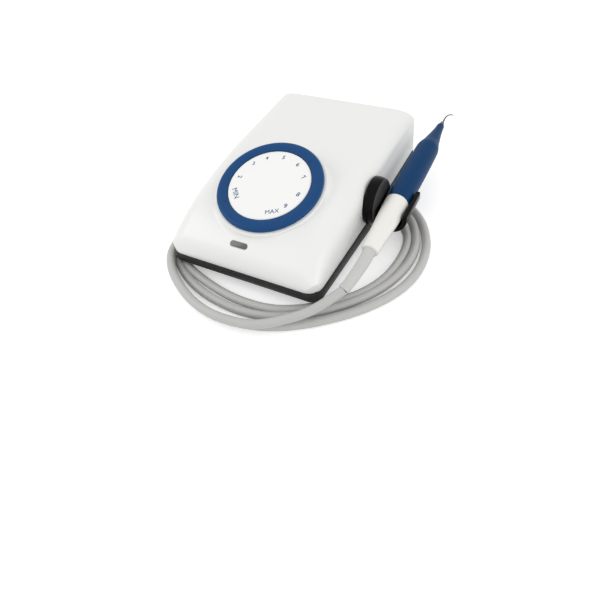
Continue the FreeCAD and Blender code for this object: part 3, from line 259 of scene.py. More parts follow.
def new_finish(name, colour, roughness, metallic=0.0):
    """A material with its principled shader, ready for its patterns."""
    material = bpy.data.materials.new(name)
    material.use_nodes = True
    nodes = material.node_tree.nodes
    links = material.node_tree.links
    shader = nodes["Principled BSDF"]
    shader.inputs["Base Color"].default_value = (*colour, 1.0)
    shader.inputs["Roughness"].default_value = roughness
    shader.inputs["Metallic"].default_value = metallic
    place = nodes.new("ShaderNodeTexCoord")
    return material, nodes, links, shader, place.outputs["Object"]


def grain(nodes, links, where, scale, detail):
    """Noise that the other patterns take their changes from."""
    noise = nodes.new("ShaderNodeTexNoise")
    noise.inputs["Scale"].default_value = scale
    noise.inputs["Detail"].default_value = detail
    links.new(where, noise.inputs["Vector"])
    return noise.outputs["Fac"]


def tone(nodes, links, factor, colour, spread, shader):
    """Vary the colour a little between two neighbouring tones."""
    mix = nodes.new("ShaderNodeMix")
    mix.data_type = "RGBA"
    mix.inputs["A"].default_value = (*[c * (1 - spread) for c in colour], 1.0)
    mix.inputs["B"].default_value = (*[min(c * (1 + spread), 1.0) for c in colour], 1.0)
    links.new(factor, mix.inputs["Factor"])
    links.new(mix.outputs["Result"], shader.inputs["Base Color"])


def gloss_range(nodes, links, factor, low, high, shader):
    """Vary the roughness between two values."""
    span = nodes.new("ShaderNodeMapRange")
    span.inputs["To Min"].default_value = low
    span.inputs["To Max"].default_value = high
    links.new(factor, span.inputs["Value"])
    links.new(span.outputs["Result"], shader.inputs["Roughness"])


def relief(nodes, links, height, depth, shader):
    """Fine relief, its depth in metres."""
    bump = nodes.new("ShaderNodeBump")
    bump.inputs["Strength"].default_value = 1.0
    bump.inputs["Distance"].default_value = depth
    links.new(height, bump.inputs["Height"])
    links.new(bump.outputs["Normal"], shader.inputs["Normal"])


def moulded(name, colour, roughness, spark=2600.0, depth=0.000004, spread=0.012, coat=0.0,
            shine=0.5):
    """Injection-moulded plastic: fine spark texture, slight tone and gloss changes."""
    material, nodes, links, shader, where = new_finish(name, colour, roughness)
    shader.inputs["Specular IOR Level"].default_value = shine
    shader.inputs["Coat Weight"].default_value = coat
    shader.inputs["Coat Roughness"].default_value = 0.12
    broad = grain(nodes, links, where, 34.0, 2.0)
    fine = grain(nodes, links, where, spark, 3.0)
    tone(nodes, links, broad, colour, spread, shader)
    gloss_range(nodes, links, broad, roughness * 0.92, roughness * 1.08, shader)
    relief(nodes, links, fine, depth, shader)
    return material


def silicone(name, colour, roughness=0.42):
    """Silicone skin: soft sheen, fine dust in its tone, faint waviness."""
    material, nodes, links, shader, where = new_finish(name, colour, roughness)
    shader.inputs["Sheen Weight"].default_value = 0.12
    shader.inputs["Sheen Roughness"].default_value = 0.4
    shader.inputs["Subsurface Weight"].default_value = 0.08
    shader.inputs["Subsurface Scale"].default_value = 0.002
    broad = grain(nodes, links, where, 60.0, 3.0)
    fine = grain(nodes, links, where, 1500.0, 4.0)
    tone(nodes, links, broad, colour, 0.03, shader)
    gloss_range(nodes, links, fine, roughness * 0.85, roughness * 1.15, shader)
    relief(nodes, links, fine, 0.000006, shader)
    return material


def turned_metal(name, colour, roughness, rings=5200.0, axis="Y"):
    """Turned metal: fine rings from the cutter along one axis."""
    material, nodes, links, shader, where = new_finish(name, colour, roughness, 1.0)
    wave = nodes.new("ShaderNodeTexWave")
    wave.wave_type = "BANDS"
    wave.bands_direction = axis
    wave.inputs["Scale"].default_value = rings / 20
    wave.inputs["Distortion"].default_value = 1.4
    wave.inputs["Detail"].default_value = 3.0
    wave.inputs["Detail Scale"].default_value = 2.0
    links.new(where, wave.inputs["Vector"])
    tone(nodes, links, wave.outputs["Fac"], colour, 0.06, shader)
    gloss_range(nodes, links, wave.outputs["Fac"], roughness * 0.8, roughness * 1.25, shader)
    relief(nodes, links, wave.outputs["Fac"], 0.000004, shader)
    return material


def cast_rough(name, colour, roughness, scale, depth, metallic=0.0):
    """Fired, sintered or tumbled surface with a visible grain."""
    material, nodes, links, shader, where = new_finish(name, colour, roughness, metallic)
    fine = grain(nodes, links, where, scale, 6.0)
    tone(nodes, links, fine, colour, 0.1, shader)
    gloss_range(nodes, links, fine, roughness * 0.85, roughness * 1.1, shader)
    relief(nodes, links, fine, depth, shader)
    return material


def board_finish(name, colour):
    """Printed board: lacquer over faint copper tracks in a square pattern."""
    material, nodes, links, shader, where = new_finish(name, colour, 0.35)
    bricks = nodes.new("ShaderNodeTexBrick")
    bricks.inputs["Scale"].default_value = 170.0
    bricks.inputs["Mortar Size"].default_value = 0.06
    bricks.inputs["Color1"].default_value = (*colour, 1.0)
    bricks.inputs["Color2"].default_value = (*[c * 0.92 for c in colour], 1.0)
    bricks.inputs["Mortar"].default_value = (*[c * 1.7 for c in colour], 1.0)
    links.new(where, bricks.inputs["Vector"])
    links.new(bricks.outputs["Color"], shader.inputs["Base Color"])
    relief(nodes, links, bricks.outputs["Fac"], 0.00002, shader)
    return material


def wound_wire(name, colour):
    """Enamelled wire laid in rows."""
    material, nodes, links, shader, where = new_finish(name, colour, 0.3, 0.8)
    wave = nodes.new("ShaderNodeTexWave")
    wave.bands_direction = "Z"
    wave.inputs["Scale"].default_value = 420.0
    wave.inputs["Distortion"].default_value = 0.6
    links.new(where, wave.inputs["Vector"])
    tone(nodes, links, wave.outputs["Fac"], colour, 0.25, shader)
    relief(nodes, links, wave.outputs["Fac"], 0.0001, shader)
    return material


def clear_tube(name, colour):
    """Milky tubing that lets some light through."""
    material, nodes, links, shader, where = new_finish(name, colour, 0.25)
    shader.inputs["Transmission Weight"].default_value = 0.35
    shader.inputs["IOR"].default_value = 1.42
    broad = grain(nodes, links, where, 90.0, 2.0)
    tone(nodes, links, broad, colour, 0.04, shader)
    gloss_range(nodes, links, broad, 0.2, 0.32, shader)
    return material


def make_finishes():
    """One material for each of the record's slots."""
    colours = bpy.context.scene.scaler_colour
    return {
        "case_white": moulded("Cover white", tuple(colours.cover), 0.34, coat=0.05),
        "base_grey": moulded("Base grey", (0.022, 0.022, 0.023), 0.5, 900.0, 0.00002, 0.06,
                             shine=0.3),
        "rubber_dark": cast_rough("Foot rubber", (0.022, 0.022, 0.022), 0.8, 900.0, 0.00002),
        "steel": turned_metal("Screw steel", (0.62, 0.62, 0.6), 0.28),
        "ring_blue": moulded("Ring blue", tuple(colours.ring), 0.34, spread=0.03, shine=0.14),
        "plate_white": moulded("Plate white", (0.9, 0.9, 0.885), 0.3, coat=0.1),
        "nylon": moulded("Nylon", (0.72, 0.7, 0.62), 0.42, 700.0, 0.00001, 0.03),
        "inner_grey": moulded("Inner grey", (0.2, 0.2, 0.21), 0.45, 900.0, 0.00001, 0.04),
        "lamp_grey": moulded("Lamp lens", (0.085, 0.085, 0.083), 0.2, spread=0.02, coat=0.2),
        "board_green": board_finish("Board green", (0.015, 0.13, 0.04)),
        "ferrite": cast_rough("Ferrite", (0.045, 0.045, 0.05), 0.6, 1300.0, 0.00003, 0.2),
        "copper": wound_wire("Copper wire", (0.55, 0.22, 0.08)),
        "aluminium": turned_metal("Aluminium", (0.68, 0.69, 0.7), 0.34, 3600.0, "X"),
        "brass": turned_metal("Brass", (0.64, 0.47, 0.2), 0.26, 4200.0),
        "black_plastic": moulded("Black plastic", (0.016, 0.016, 0.017), 0.3, 900.0, 0.00001, 0.08),
        "tube_clear": clear_tube("Water tube", (0.72, 0.74, 0.72)),
        "connector_white": moulded("Connector white", (0.83, 0.815, 0.77), 0.3, coat=0.15),
        "sleeve_blue": moulded("Sleeve blue", tuple(colours.sleeve), 0.42, 1800.0, 0.000006, 0.05,
                               shine=0.1),
        "ceramic": cast_rough("Piezo ceramic", (0.33, 0.3, 0.26), 0.62, 1800.0, 0.00001),
        "titanium": turned_metal("Titanium", (0.2, 0.18, 0.16), 0.34, 6400.0),
        "hose_grey": silicone("Hose grey", tuple(colours.hose)),
        "boot_grey": silicone("Boot grey", (0.56, 0.56, 0.54), 0.4),
        "holder_black": moulded("Holder black", (0.005, 0.005, 0.0053), 0.14, 900.0, 0.000001, 0.06,
                                shine=0.07),
    }


FINISH = {}


# ------------------------------------------------------------------ the cover's surface


def top_at(y):
    """Height of the cover's top on the centre line."""
    case = bpy.context.scene.scaler_case
    if y >= case.slope_start:
        return case.top
    share = (case.slope_start - y) / (case.slope_start + case.half_length)
    return case.top - case.front_drop * share ** case.slope_power


def half_width_at(y):
    """Half the plan's width, with its taper and rounded corners."""
    case = bpy.context.scene.scaler_case
    width = case.half_width
    run = case.half_length + case.taper_start
    if y < case.taper_start:
        width -= case.front_taper * (case.taper_start - y) / run
    for radius, reach in ((case.front_corner, y + case.half_length),
                          (case.back_corner, case.half_length - y)):
        if reach < radius:
            width += math.sqrt(max(radius ** 2 - (radius - reach) ** 2, 0.0)) - radius
    return width


def section_point(y, s):
    """Point of the cross-section at y: s runs from the middle to the upright side."""
    case = bpy.context.scene.scaler_case
    back = (y + case.half_length) / (2 * case.half_length)
    edge = case.crease_front + (case.crease_rear - case.crease_front) * back
    crease = case.half_width - edge
    top = top_at(y)
    share = case.shoulder_front + (case.shoulder_rear - case.shoulder_front) * min(1, 2 * back)
    drop = share * (top - case.parting)
    if s <= 0.5:
        return crease * s / 0.5, top
    t = (s - 0.5) / 0.5
    weights = ((1 - t) ** 3, 3 * t * (1 - t) ** 2, 3 * t * t * (1 - t), t ** 3)
    across = (crease, crease + 0.65 * edge, case.half_width, case.half_width)
    up = (top, top - 0.14 * drop, top - 0.38 * drop, top - drop)
    return (sum(w * a for w, a in zip(weights, across)),
            sum(w * u for w, u in zip(weights, up)))


def reach_at(y, width):
    """How far s runs at y until the section is as wide as the plan."""
    low, high = 0.0, 1.0
    for _ in range(30):
        middle = (low + high) / 2
        if section_point(y, middle)[0] < width:
            low = middle
        else:
            high = middle
    return high


def parting_at(y):
    """Height of the cover's lower edge, which falls from the front to the middle."""
    case = bpy.context.scene.scaler_case
    return case.parting - case.parting_fall * min(y + case.half_length, case.half_length)


def along(line, y):
    """Height at y on a line through places, straight between them."""
    for (y0, z0), (y1, z1) in zip(line, line[1:]):
        if y <= y1:
            return z0 + (z1 - z0) * max(y - y0, 0.0) / (y1 - y0)
    return line[-1][1]


def side_at(y):
    """Height of the base's lower side edge."""
    return along(((-97.2, 10.9), (-91.0, 10.5), (-2.0, 2.2), (2.0, 2.8), (5.0, 4.4), (8.0, 6.3),
                  (11.0, 7.7), (14.0, 8.4), (83.0, 8.9), (97.2, 12.5)), y)


def belly_at(y):
    """Height of the base's underside between the side edges."""
    return min(side_at(y), along(((-97.2, 11.0), (-86.0, 9.9), (-80.0, 9.2), (-75.0, 8.6),
                                  (-70.0, 7.9), (-62.0, 6.0), (-58.0, 4.9), (-54.0, 3.9),
                                  (-50.0, 3.2), (-46.0, 3.0), (-2.0, 3.0), (2.0, 20.0)), y))


def end_sink(y):
    """How far the rounded front and rear edges lower the surface at y."""
    case = bpy.context.scene.scaler_case
    for radius, reach in ((case.edge_round, case.half_length - y),
                          (case.front_round, y + case.half_length)):
        if reach < radius:
            return radius - math.sqrt(max(radius ** 2 - (radius - reach) ** 2, 0.0))
    return 0.0


def rounded_height(y, up):
    """Height of the surface where the section and the end edges round off together."""
    top = top_at(y)
    merge, limit, rim = 2.3, 3.6, 0.8
    sink = ((top - up) ** merge + end_sink(y) ** merge) ** (1 / merge)
    if sink < 0.001:
        return top
    room = top - parting_at(y) - rim
    return top - (sink ** -limit + room ** -limit) ** (-1 / limit)


def cover_height(x, y):
    """Height of the cover's outside over a point of its plan."""
    s = reach_at(y, min(abs(x), half_width_at(y)))
    return section_point(y, s)[1]


def station(v):
    """Place along the case for v from -1 to 1, close together at both ends."""
    case = bpy.context.scene.scaler_case
    end = case.half_length
    rear = end - case.edge_round
    front = -end + case.front_corner
    straight, curved = 0.72, 0.28
    if v > straight:
        return rear + case.edge_round * math.sin((v - straight) / curved * math.pi / 2)
    if v < -straight:
        return front - case.front_corner * math.sin((-v - straight) / curved * math.pi / 2)
    return front + (rear - front) * (v + straight) / (2 * straight)


# ------------------------------------------------------------------ the hose's line

LIES_AT = 3.5


def laid(*places):
    """Places of a hose that lies on the table, its middle as high as its radius."""
    return [(x, y, LIES_AT) for x, y in places]


HOSE_ROUTE = (
    # out of the gland and down behind the unit
    (-3.0, 101.0, 30.0), (-3.0, 120.0, 28.5), (-13.0, 142.0, 12.0),
    *laid(
        # along the left side
        (-44.0, 147.0), (-70.0, 126.0), (-80.0, 88.0), (-87.0, 56.0), (-89.2, 34.0),
        (-89.0, 12.0), (-87.5, -8.0), (-84.5, -28.0), (-81.9, -48.0), (-81.6, -66.0),
        (-79.0, -84.0), (-69.5, -99.2), (-54.5, -111.3), (-33.0, -123.4), (-10.4, -129.4),
        (3.0, -129.8), (20.0, -128.0), (37.0, -123.2),
        # outer turn, from the front round the right side and under the rear
        (54.0, -115.2), (72.5, -102.2), (91.5, -85.2), (107.0, -64.5), (114.5, -46.0),
        (116.5, -27.5), (113.5, -9.0), (107.5, 5.0), (101.0, 15.5), (92.0, 25.0), (80.0, 33.0),
        (62.0, 41.5), (40.0, 47.5), (12.0, 50.8), (-20.0, 50.8), (-48.0, 48.3), (-70.0, 41.0),
        (-80.8, 26.5), (-82.2, 8.0), (-80.6, -10.0), (-77.6, -28.0), (-74.9, -48.0),
        (-74.7, -68.0), (-71.5, -87.5),
        # middle turn
        (-57.5, -99.8), (-38.0, -110.4), (-16.0, -116.6), (10.0, -119.2), (34.0, -115.4),
        (49.5, -108.0), (63.5, -98.6), (81.5, -82.8), (94.5, -66.0), (102.5, -50.0),
        (107.2, -30.5), (106.2, -12.0), (101.2, 1.0), (95.5, 11.0), (88.5, 19.0), (76.0, 26.8),
        (60.0, 34.0), (38.0, 40.0), (10.0, 43.2), (-20.0, 43.2), (-45.0, 40.4), (-63.5, 33.5),
        (-73.2, 21.0), (-75.1, 5.0), (-73.6, -10.0), (-70.6, -28.0), (-67.9, -46.0),
        (-67.8, -64.0), (-65.4, -81.0),
        # inner turn
        (-57.5, -93.6), (-43.0, -100.2), (-17.0, -107.6), (7.0, -110.6), (32.0, -108.8),
        (51.0, -100.6), (64.0, -91.5), (75.5, -82.0), (86.0, -70.5), (94.0, -57.0), (98.8, -41.0),
        (100.2, -21.5), (97.4, -6.0), (91.5, 3.5), (84.0, 10.5), (72.0, 19.0), (54.0, 27.5),
        (30.0, 33.4), (0.0, 35.6), (-30.0, 34.8), (-52.0, 30.6)
    ),
    # up onto the first turn
    (-64.0, 20.5, 3.6), (-67.6, 6.0, 4.4), (-69.2, -10.0, 9.2), (-70.8, -28.0, 10.6),
    (-71.3, -50.0, 10.0), (-73.2, -70.0, 10.4),
    # on top of the first turn's start, out to the front
    (-73.1, -88.3, 10.5), (-63.2, -103.8, 10.5), (-48.6, -115.7, 10.5), (-27.6, -127.5, 10.5),
    (-5.5, -133.6, 10.5), (7.6, -133.2, 10.5),
)

LEAD_ROUTE = (
    (7.6, -133.2, 10.5), (22.5, -132.6, 10.5), (37.5, -126.6, 11.0), (49.5, -118.5, 12.4),
    (61.5, -109.5, 14.2), (71.0, -98.5, 17.0), (79.3, -85.0, 20.0),
)


def route_curve(name, route, bevel):
    """A curve of one NURBS spline along a route."""
    curve = bpy.data.curves.new(name, "CURVE")
    curve.dimensions = "3D"
    curve.resolution_u = 10
    curve.bevel_depth = bevel
    curve.bevel_resolution = 7
    curve.use_fill_caps = True
    spline = curve.splines.new("NURBS")
    spline.points.add(len(route) - 1)
    for point, place in zip(spline.points, route):
        point.co = (*at(*place), 1.0)
    spline.order_u = 3
    spline.use_endpoint_u = True
    return curve


def line_of(route):
    """Points of the route's spline, and their length."""
    probe = bpy.data.objects.new("line", route_curve("line", route, 0.0))
    bpy.context.collection.objects.link(probe)
    mesh = bpy.data.meshes.new_from_object(probe)
    points = [vertex.co.copy() for vertex in mesh.vertices]
    length = sum((b - a).length for a, b in zip(points, points[1:]))
    bpy.data.objects.remove(probe)
    bpy.data.meshes.remove(mesh)
    return points, length


# ------------------------------------------------------------------ operators


class ScalerStage(bpy.types.Operator):
    """Set up the camera, the lamps, the sky and the floor"""

    bl_idname = "scaler.stage"
    bl_label = "Stage"

    def execute(self, context):
        stage = context.scene.scaler_stage
        camera = bpy.data.cameras.new("Camera")
        camera.lens = stage.lens
        camera.sensor_width = 36.0
        camera.clip_start = 0.01
        viewer = bpy.data.objects.new("Camera", camera)
        viewer.location = stage.camera_at
        viewer.rotation_euler = Euler([math.radians(a) for a in stage.camera_turn], "XYZ")
        context.collection.objects.link(viewer)
        context.scene.camera = viewer
        self.lamp("Key lamp", (-0.66, -0.36, 0.62), stage.key)
        self.lamp("Fill lamp", (0.75, -0.15, 0.4), stage.key * 0.85)
        self.sky(context, stage)
        self.floor(context, stage)
        context.scene.view_settings.view_transform = "Standard"
        return {"FINISHED"}

    def lamp(self, name, place, power):
        """A round lamp of half a metre, aimed at the middle of the unit."""
        lamp = bpy.data.lights.new(name, "AREA")
        lamp.shape = "DISK"
        lamp.size = 0.5
        lamp.energy = power
        holder = bpy.data.objects.new(name, lamp)
        holder.location = place
        aim = Vector((0.0, 0.0, 0.03)) - Vector(place)
        holder.rotation_euler = aim.to_track_quat("-Z", "Y").to_euler()
        bpy.context.collection.objects.link(holder)

    def seen_by(self, nodes, links, *rays):
        """A value of 1 for the kinds of ray that are named, and of 0 for the rest."""
        path = nodes.new("ShaderNodeLightPath")
        seen = path.outputs[rays[0]]
        for ray in rays[1:]:
            either = nodes.new("ShaderNodeMath")
            either.operation = "MAXIMUM"
            links.new(seen, either.inputs[0])
            links.new(path.outputs[ray], either.inputs[1])
            seen = either.outputs["Value"]
        return seen

    def sky(self, context, stage):
        """An even white sky, plain white where it is looked at."""
        world = bpy.data.worlds.new("Soft sky")
        world.use_nodes = True
        nodes = world.node_tree.nodes
        links = world.node_tree.links
        back = nodes["Background"]
        back.inputs["Color"].default_value = (1.0, 1.0, 1.0, 1.0)
        level = nodes.new("ShaderNodeMapRange")
        level.inputs["To Min"].default_value = stage.sky
        level.inputs["To Max"].default_value = 1.0
        links.new(self.seen_by(nodes, links, "Is Camera Ray", "Is Glossy Ray",
                               "Is Transmission Ray"), level.inputs["Value"])
        links.new(level.outputs["Result"], back.inputs["Strength"])
        context.scene.world = world

    def floor(self, context, stage):
        """A wide pale floor that takes the object's shadow."""
        bm = bmesh.new()
        bmesh.ops.create_grid(bm, x_segments=2, y_segments=2, size=12.0)
        mesh = bpy.data.meshes.new("Floor")
        bm.to_mesh(mesh)
        bm.free()
        material = bpy.data.materials.new("Floor white")
        material.use_nodes = True
        nodes = material.node_tree.nodes
        links = material.node_tree.links
        shader = nodes["Principled BSDF"]
        shader.inputs["Base Color"].default_value = (0.82, 0.82, 0.82, 1.0)
        shader.inputs["Roughness"].default_value = 0.9
        shader.inputs["Specular IOR Level"].default_value = 0.1
        shader.inputs["Emission Color"].default_value = (1.0, 1.0, 1.0, 1.0)
        lift = nodes.new("ShaderNodeMath")
        lift.operation = "MULTIPLY"
        lift.inputs[1].default_value = stage.floor_lift
        links.new(self.seen_by(nodes, links, "Is Camera Ray", "Is Glossy Ray"), lift.inputs[0])
        links.new(lift.outputs["Value"], shader.inputs["Emission Strength"])
        mesh.materials.append(material)
        floor = bpy.data.objects.new("Floor", mesh)
        context.collection.objects.link(floor)


class ScalerHose(bpy.types.Operator):
    """Lay the hose: its turns and tail, and the lead up to the handpiece"""

    bl_idname = "scaler.hose"
    bl_label = "Hose"

    def execute(self, context):
        radius = context.scene.scaler_hose.radius
        curve = route_curve("hose_turns", HOSE_ROUTE, radius)
        curve.materials.append(FINISH["hose_grey"])
        turns = bpy.data.objects.new("hose_turns", curve)
        context.collection.objects.link(turns)
        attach(turns, "unit")
        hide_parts("hose_coil", "hose_tail")
        points, length = line_of(HOSE_ROUTE)
        print("hose turns and tail", round(length, 3), "m")

        lead_line, lead_length = line_of(LEAD_ROUTE)
        print("hose lead", round(lead_length, 3), "m")
        probe = bpy.data.objects.new("lead form", route_curve("lead form", LEAD_ROUTE, radius))
        context.collection.objects.link(probe)
        mesh = bpy.data.meshes.new_from_object(probe)
        bpy.data.objects.remove(probe)
        mesh.name = "hose_lead_skin"
        mesh.shade_smooth()
        mesh.materials.clear()
        mesh.materials.append(FINISH["hose_grey"])
        lead = bpy.data.objects.new("hose_lead_skin", mesh)
        context.collection.objects.link(lead)
        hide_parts("hose_lead")
        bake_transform(lead)
        return {"FINISHED"}


class ScalerCover(bpy.types.Operator):
    """Mould the cover with its rounded shoulders, front slope and rear opening"""

    bl_idname = "scaler.cover"
    bl_label = "Cover"

    def execute(self, context):
        case = context.scene.scaler_case
        bm = bmesh.new()
        bmesh.ops.create_grid(bm, x_segments=72, y_segments=96, size=1.0)
        for vertex in bm.verts:
            u, v = vertex.co.x, vertex.co.y
            y = station(v)
            width = half_width_at(y)
            s = abs(u) ** 0.9 * reach_at(y, width)
            across, up = section_point(y, s)
            vertex.co = (math.copysign(across, u), y, rounded_height(y, up))
        rim = [edge for edge in bm.edges if edge.is_boundary]
        # the upright wall's loops, by their height over the lower edge; the last one turns in
        for height in (12.0, 0.6, 0.0):
            made = bmesh.ops.extrude_edge_only(bm, edges=rim)["geom"]
            rim = [item for item in made if isinstance(item, bmesh.types.BMEdge)
                   and item.is_boundary]
            lower = {vertex for edge in rim for vertex in edge.verts}
            for vertex in lower:
                foot = parting_at(vertex.co.y)
                left = vertex.co.z - foot
                vertex.co.z = foot + min(height, left * 0.5)
                if height == 0.0:
                    side = Vector((vertex.co.x, vertex.co.y, 0.0)).normalized()
                    vertex.co -= side * min(0.3, left * 0.5)
        bmesh.ops.recalc_face_normals(bm, faces=bm.faces)
        self.open_rear(bm, case)
        bmesh.ops.transform(bm, matrix=stand(0, 0, 0, 0), verts=bm.verts)
        cover = keep_piece(bm, "cover_skin", "unit", FINISH["case_white"],
                           ("top_cover",), 30.0)
        shell = cover.modifiers.new("Wall", "SOLIDIFY")
        shell.thickness = case.wall * MM
        shell.offset = -1.0
        shell.use_even_offset = True
        self.deck(context)
        return {"FINISHED"}

    def open_rear(self, bm, case):
        """Cut the opening for the rear panel out of the rear wall."""
        wall = case.half_length - 0.5
        side, height = 50, 38
        for place, normal in (((-side, 0, 0), (1, 0, 0)), ((side, 0, 0), (1, 0, 0)),
                              ((0, 0, height), (0, 0, 1))):
            near = [face for face in bm.faces
                    if all(vertex.co.y > wall for vertex in face.verts)]
            edges = {edge for face in near for edge in face.edges}
            corners = {vertex for face in near for vertex in face.verts}
            bmesh.ops.bisect_plane(bm, geom=list(corners) + list(edges) + near, dist=0.001,
                                   plane_co=place, plane_no=normal)
        gone = []
        for face in bm.faces:
            middle = face.calc_center_median()
            if middle.y > wall and abs(middle.x) < side and middle.z < height:
                gone.append(face)
        bmesh.ops.delete(bm, geom=gone, context="FACES")

    def deck(self, context):
        """The raised seat under the dial ring, run out softly onto the cover."""
        dial = context.scene.scaler_dial
        outside = dial.deck
        bm = lathe([(38.0, -4.6), (38.2, -4.35), (outside - 1.3, -4.3), (outside - 0.6, -4.45),
                    (outside - 0.15, -4.85), (outside, -5.5), (outside, -7.0), (outside, -8.0),
                    (outside, -9.0), (outside, -10.0), (outside, -11.0), (outside, -12.0)],
                   Matrix.Identity(4), 160)
        place = Matrix.Translation((0, dial.y, dial.z)) @ Matrix.Rotation(
            math.radians(dial.tilt), 4, "X")
        foot = {-7.0: (0.0, 3.2), -8.0: (0.25, 1.9), -9.0: (0.8, 0.95), -10.0: (1.7, 0.35),
                -11.0: (2.9, 0.06), -12.0: (4.2, -0.25)}
        for vertex in bm.verts:
            depth = round(vertex.co.z, 3)
            if depth in foot:
                flare, above = foot[depth]
                flat = Vector((vertex.co.x, vertex.co.y, 0.0)).normalized() * (outside + flare)
                seat = place @ Vector((flat.x, flat.y, -8.0))
                low = cover_height(seat.x, seat.y)
                high = (place @ Vector((vertex.co.x, vertex.co.y, -5.6))).z
                seat.z = min(low + above, high)
                vertex.co = place.inverted() @ seat
        bmesh.ops.transform(bm, matrix=stand(0, dial.y, dial.z, dial.tilt), verts=bm.verts)
        keep_piece(bm, "dial_seat", "unit", FINISH["case_white"])


class ScalerBase(bpy.types.Operator):
    """Mould the base: dark band, shadow groove under the cover, floor, foot bosses, screw pads"""

    bl_idname = "scaler.base"
    bl_label = "Base"

    # each loop: how far in from the case's plan, the height it keeps to, and how far above that
    LOOPS = ((1.7, parting_at, 1.0), (1.7, parting_at, -0.9), (0.6, parting_at, -1.3),
             (0.3, parting_at, -1.8), (0.3, side_at, 0.9), (0.5, side_at, 0.3),
             (1.0, side_at, 0.0), (3.4, side_at, 0.0), (7.0, belly_at, 0.0))
    COLUMNS = (-58.8, -56.0, -48.0, -24.0, 0.0, 24.0, 48.0, 56.0, 58.8)
    ROWS = (-91.0, -86.0, -80.0, -75.0, -70.0, -62.0, -58.0, -54.0, -50.0, -46.0, -25.0, -10.0,
            -2.0, 2.0, 5.0, 8.0, 11.0, 14.0, 30.0, 57.0, 65.0, 83.0, 90.8)
    SCREW_X = 52
    SCREW_PADS = ((-66, 5.5), (61, 8.2))
    FOOT_X, REAR_FOOT_Y = 45, 78

    def execute(self, context):
        bm = self.grid(len(self.outline(0.0)), len(self.LOOPS))
        rings = [self.outline(inset) for inset, _, _ in self.LOOPS]
        for vertex, i, j in self.cells(bm, len(rings[0]), len(rings)):
            x, y = rings[j][i]
            _, height, lift = self.LOOPS[j]
            vertex.co = (x, y, height(y) + lift)
        bmesh.ops.remove_doubles(bm, verts=bm.verts, dist=0.0005)
        bmesh.ops.recalc_face_normals(bm, faces=bm.faces)
        self.join(bm, self.floor())
        for x in (-self.SCREW_X, self.SCREW_X):
            for y, low in self.SCREW_PADS:
                self.join(bm, lathe([(5.7, low + 4), (5.7, low + 0.4), (5.3, low), (3.7, low),
                                     (3.4, low + 0.3), (3.4, low + 9)],
                                    Matrix.Translation((x, y, 0)), 48))
        for x in (-self.FOOT_X, self.FOOT_X):
            self.join(bm, lathe([(8.0, 12.0), (8.0, 3.5), (7.5, 3.0), (0.0, 3.0)],
                                Matrix.Translation((x, self.REAR_FOOT_Y, 0)), 64))
        bmesh.ops.transform(bm, matrix=stand(0, 0, 0, 0), verts=bm.verts)
        base = keep_piece(bm, "base_skin", "unit", FINISH["base_grey"], ("base_tray",))
        shell = base.modifiers.new("Wall", "SOLIDIFY")
        shell.thickness = 0.6 * MM
        shell.offset = -1.0
        return {"FINISHED"}

    def grid(self, across, along):
        """A flat grid to be laid out anew, with so many columns and rows of vertices."""
        bm = bmesh.new()
        bmesh.ops.create_grid(bm, x_segments=across - 1, y_segments=along - 1, size=1.0)
        return bm

    def cells(self, bm, across, along):
        """Every vertex of the grid with its column and row."""
        for vertex in bm.verts:
            yield (vertex, round((vertex.co.x + 1) / 2 * (across - 1)),
                   round((vertex.co.y + 1) / 2 * (along - 1)))

    def join(self, bm, other):
        """Add another form to the base."""
        mesh = bpy.data.meshes.new("part")
        other.to_mesh(mesh)
        other.free()
        bm.from_mesh(mesh)
        bpy.data.meshes.remove(mesh)

    def floor(self):
        """The underside, facing down, left open over the four screws."""
        bm = self.grid(len(self.COLUMNS), len(self.ROWS))
        for vertex, i, j in self.cells(bm, len(self.COLUMNS), len(self.ROWS)):
            y = self.ROWS[j]
            vertex.co = (self.COLUMNS[i], y, belly_at(y) + 0.1)
        gone = []
        for face in bm.faces:
            middle = face.calc_center_median()
            if abs(abs(middle.x) - self.SCREW_X) < 1 and min(
                    abs(middle.y - y) for y, _ in self.SCREW_PADS) < 1:
                gone.append(face)
        bmesh.ops.delete(bm, geom=gone, context="FACES")
        bmesh.ops.recalc_face_normals(bm, faces=bm.faces)
        if bm.faces[:][0].normal.z > 0:
            bmesh.ops.reverse_faces(bm, faces=bm.faces)
        return bm

    def outline(self, inset):
        """Rounded rectangle round the base, closed, with the same points for every inset."""
        width, front, rear = 65.0 - inset, -97.2 + inset, 97.0 - inset
        points = []
        for x_side, y_side, radius, start in ((1, -1, 8.4, -90), (1, 1, 5.4, 0), (-1, 1, 5.4, 90),
                                              (-1, -1, 8.4, 180)):
            radius = max(radius - inset, 0.8)
            centre_x = x_side * (width - radius)
            centre_y = front + radius if y_side < 0 else rear - radius
            for step in range(9):
                angle = math.radians(start + 90 * step / 8)
                points.append((centre_x + radius * math.cos(angle),
                               centre_y + radius * math.sin(angle)))
        closed = points + points[:1]
        outline = []
        for (x0, y0), (x1, y1) in zip(closed, closed[1:]):
            parts = 40 if abs(x1 - x0) + abs(y1 - y0) > 60 else 1
            outline += [(x0 + (x1 - x0) * i / parts, y0 + (y1 - y0) * i / parts)
                        for i in range(parts)]
        return outline + outline[:1]


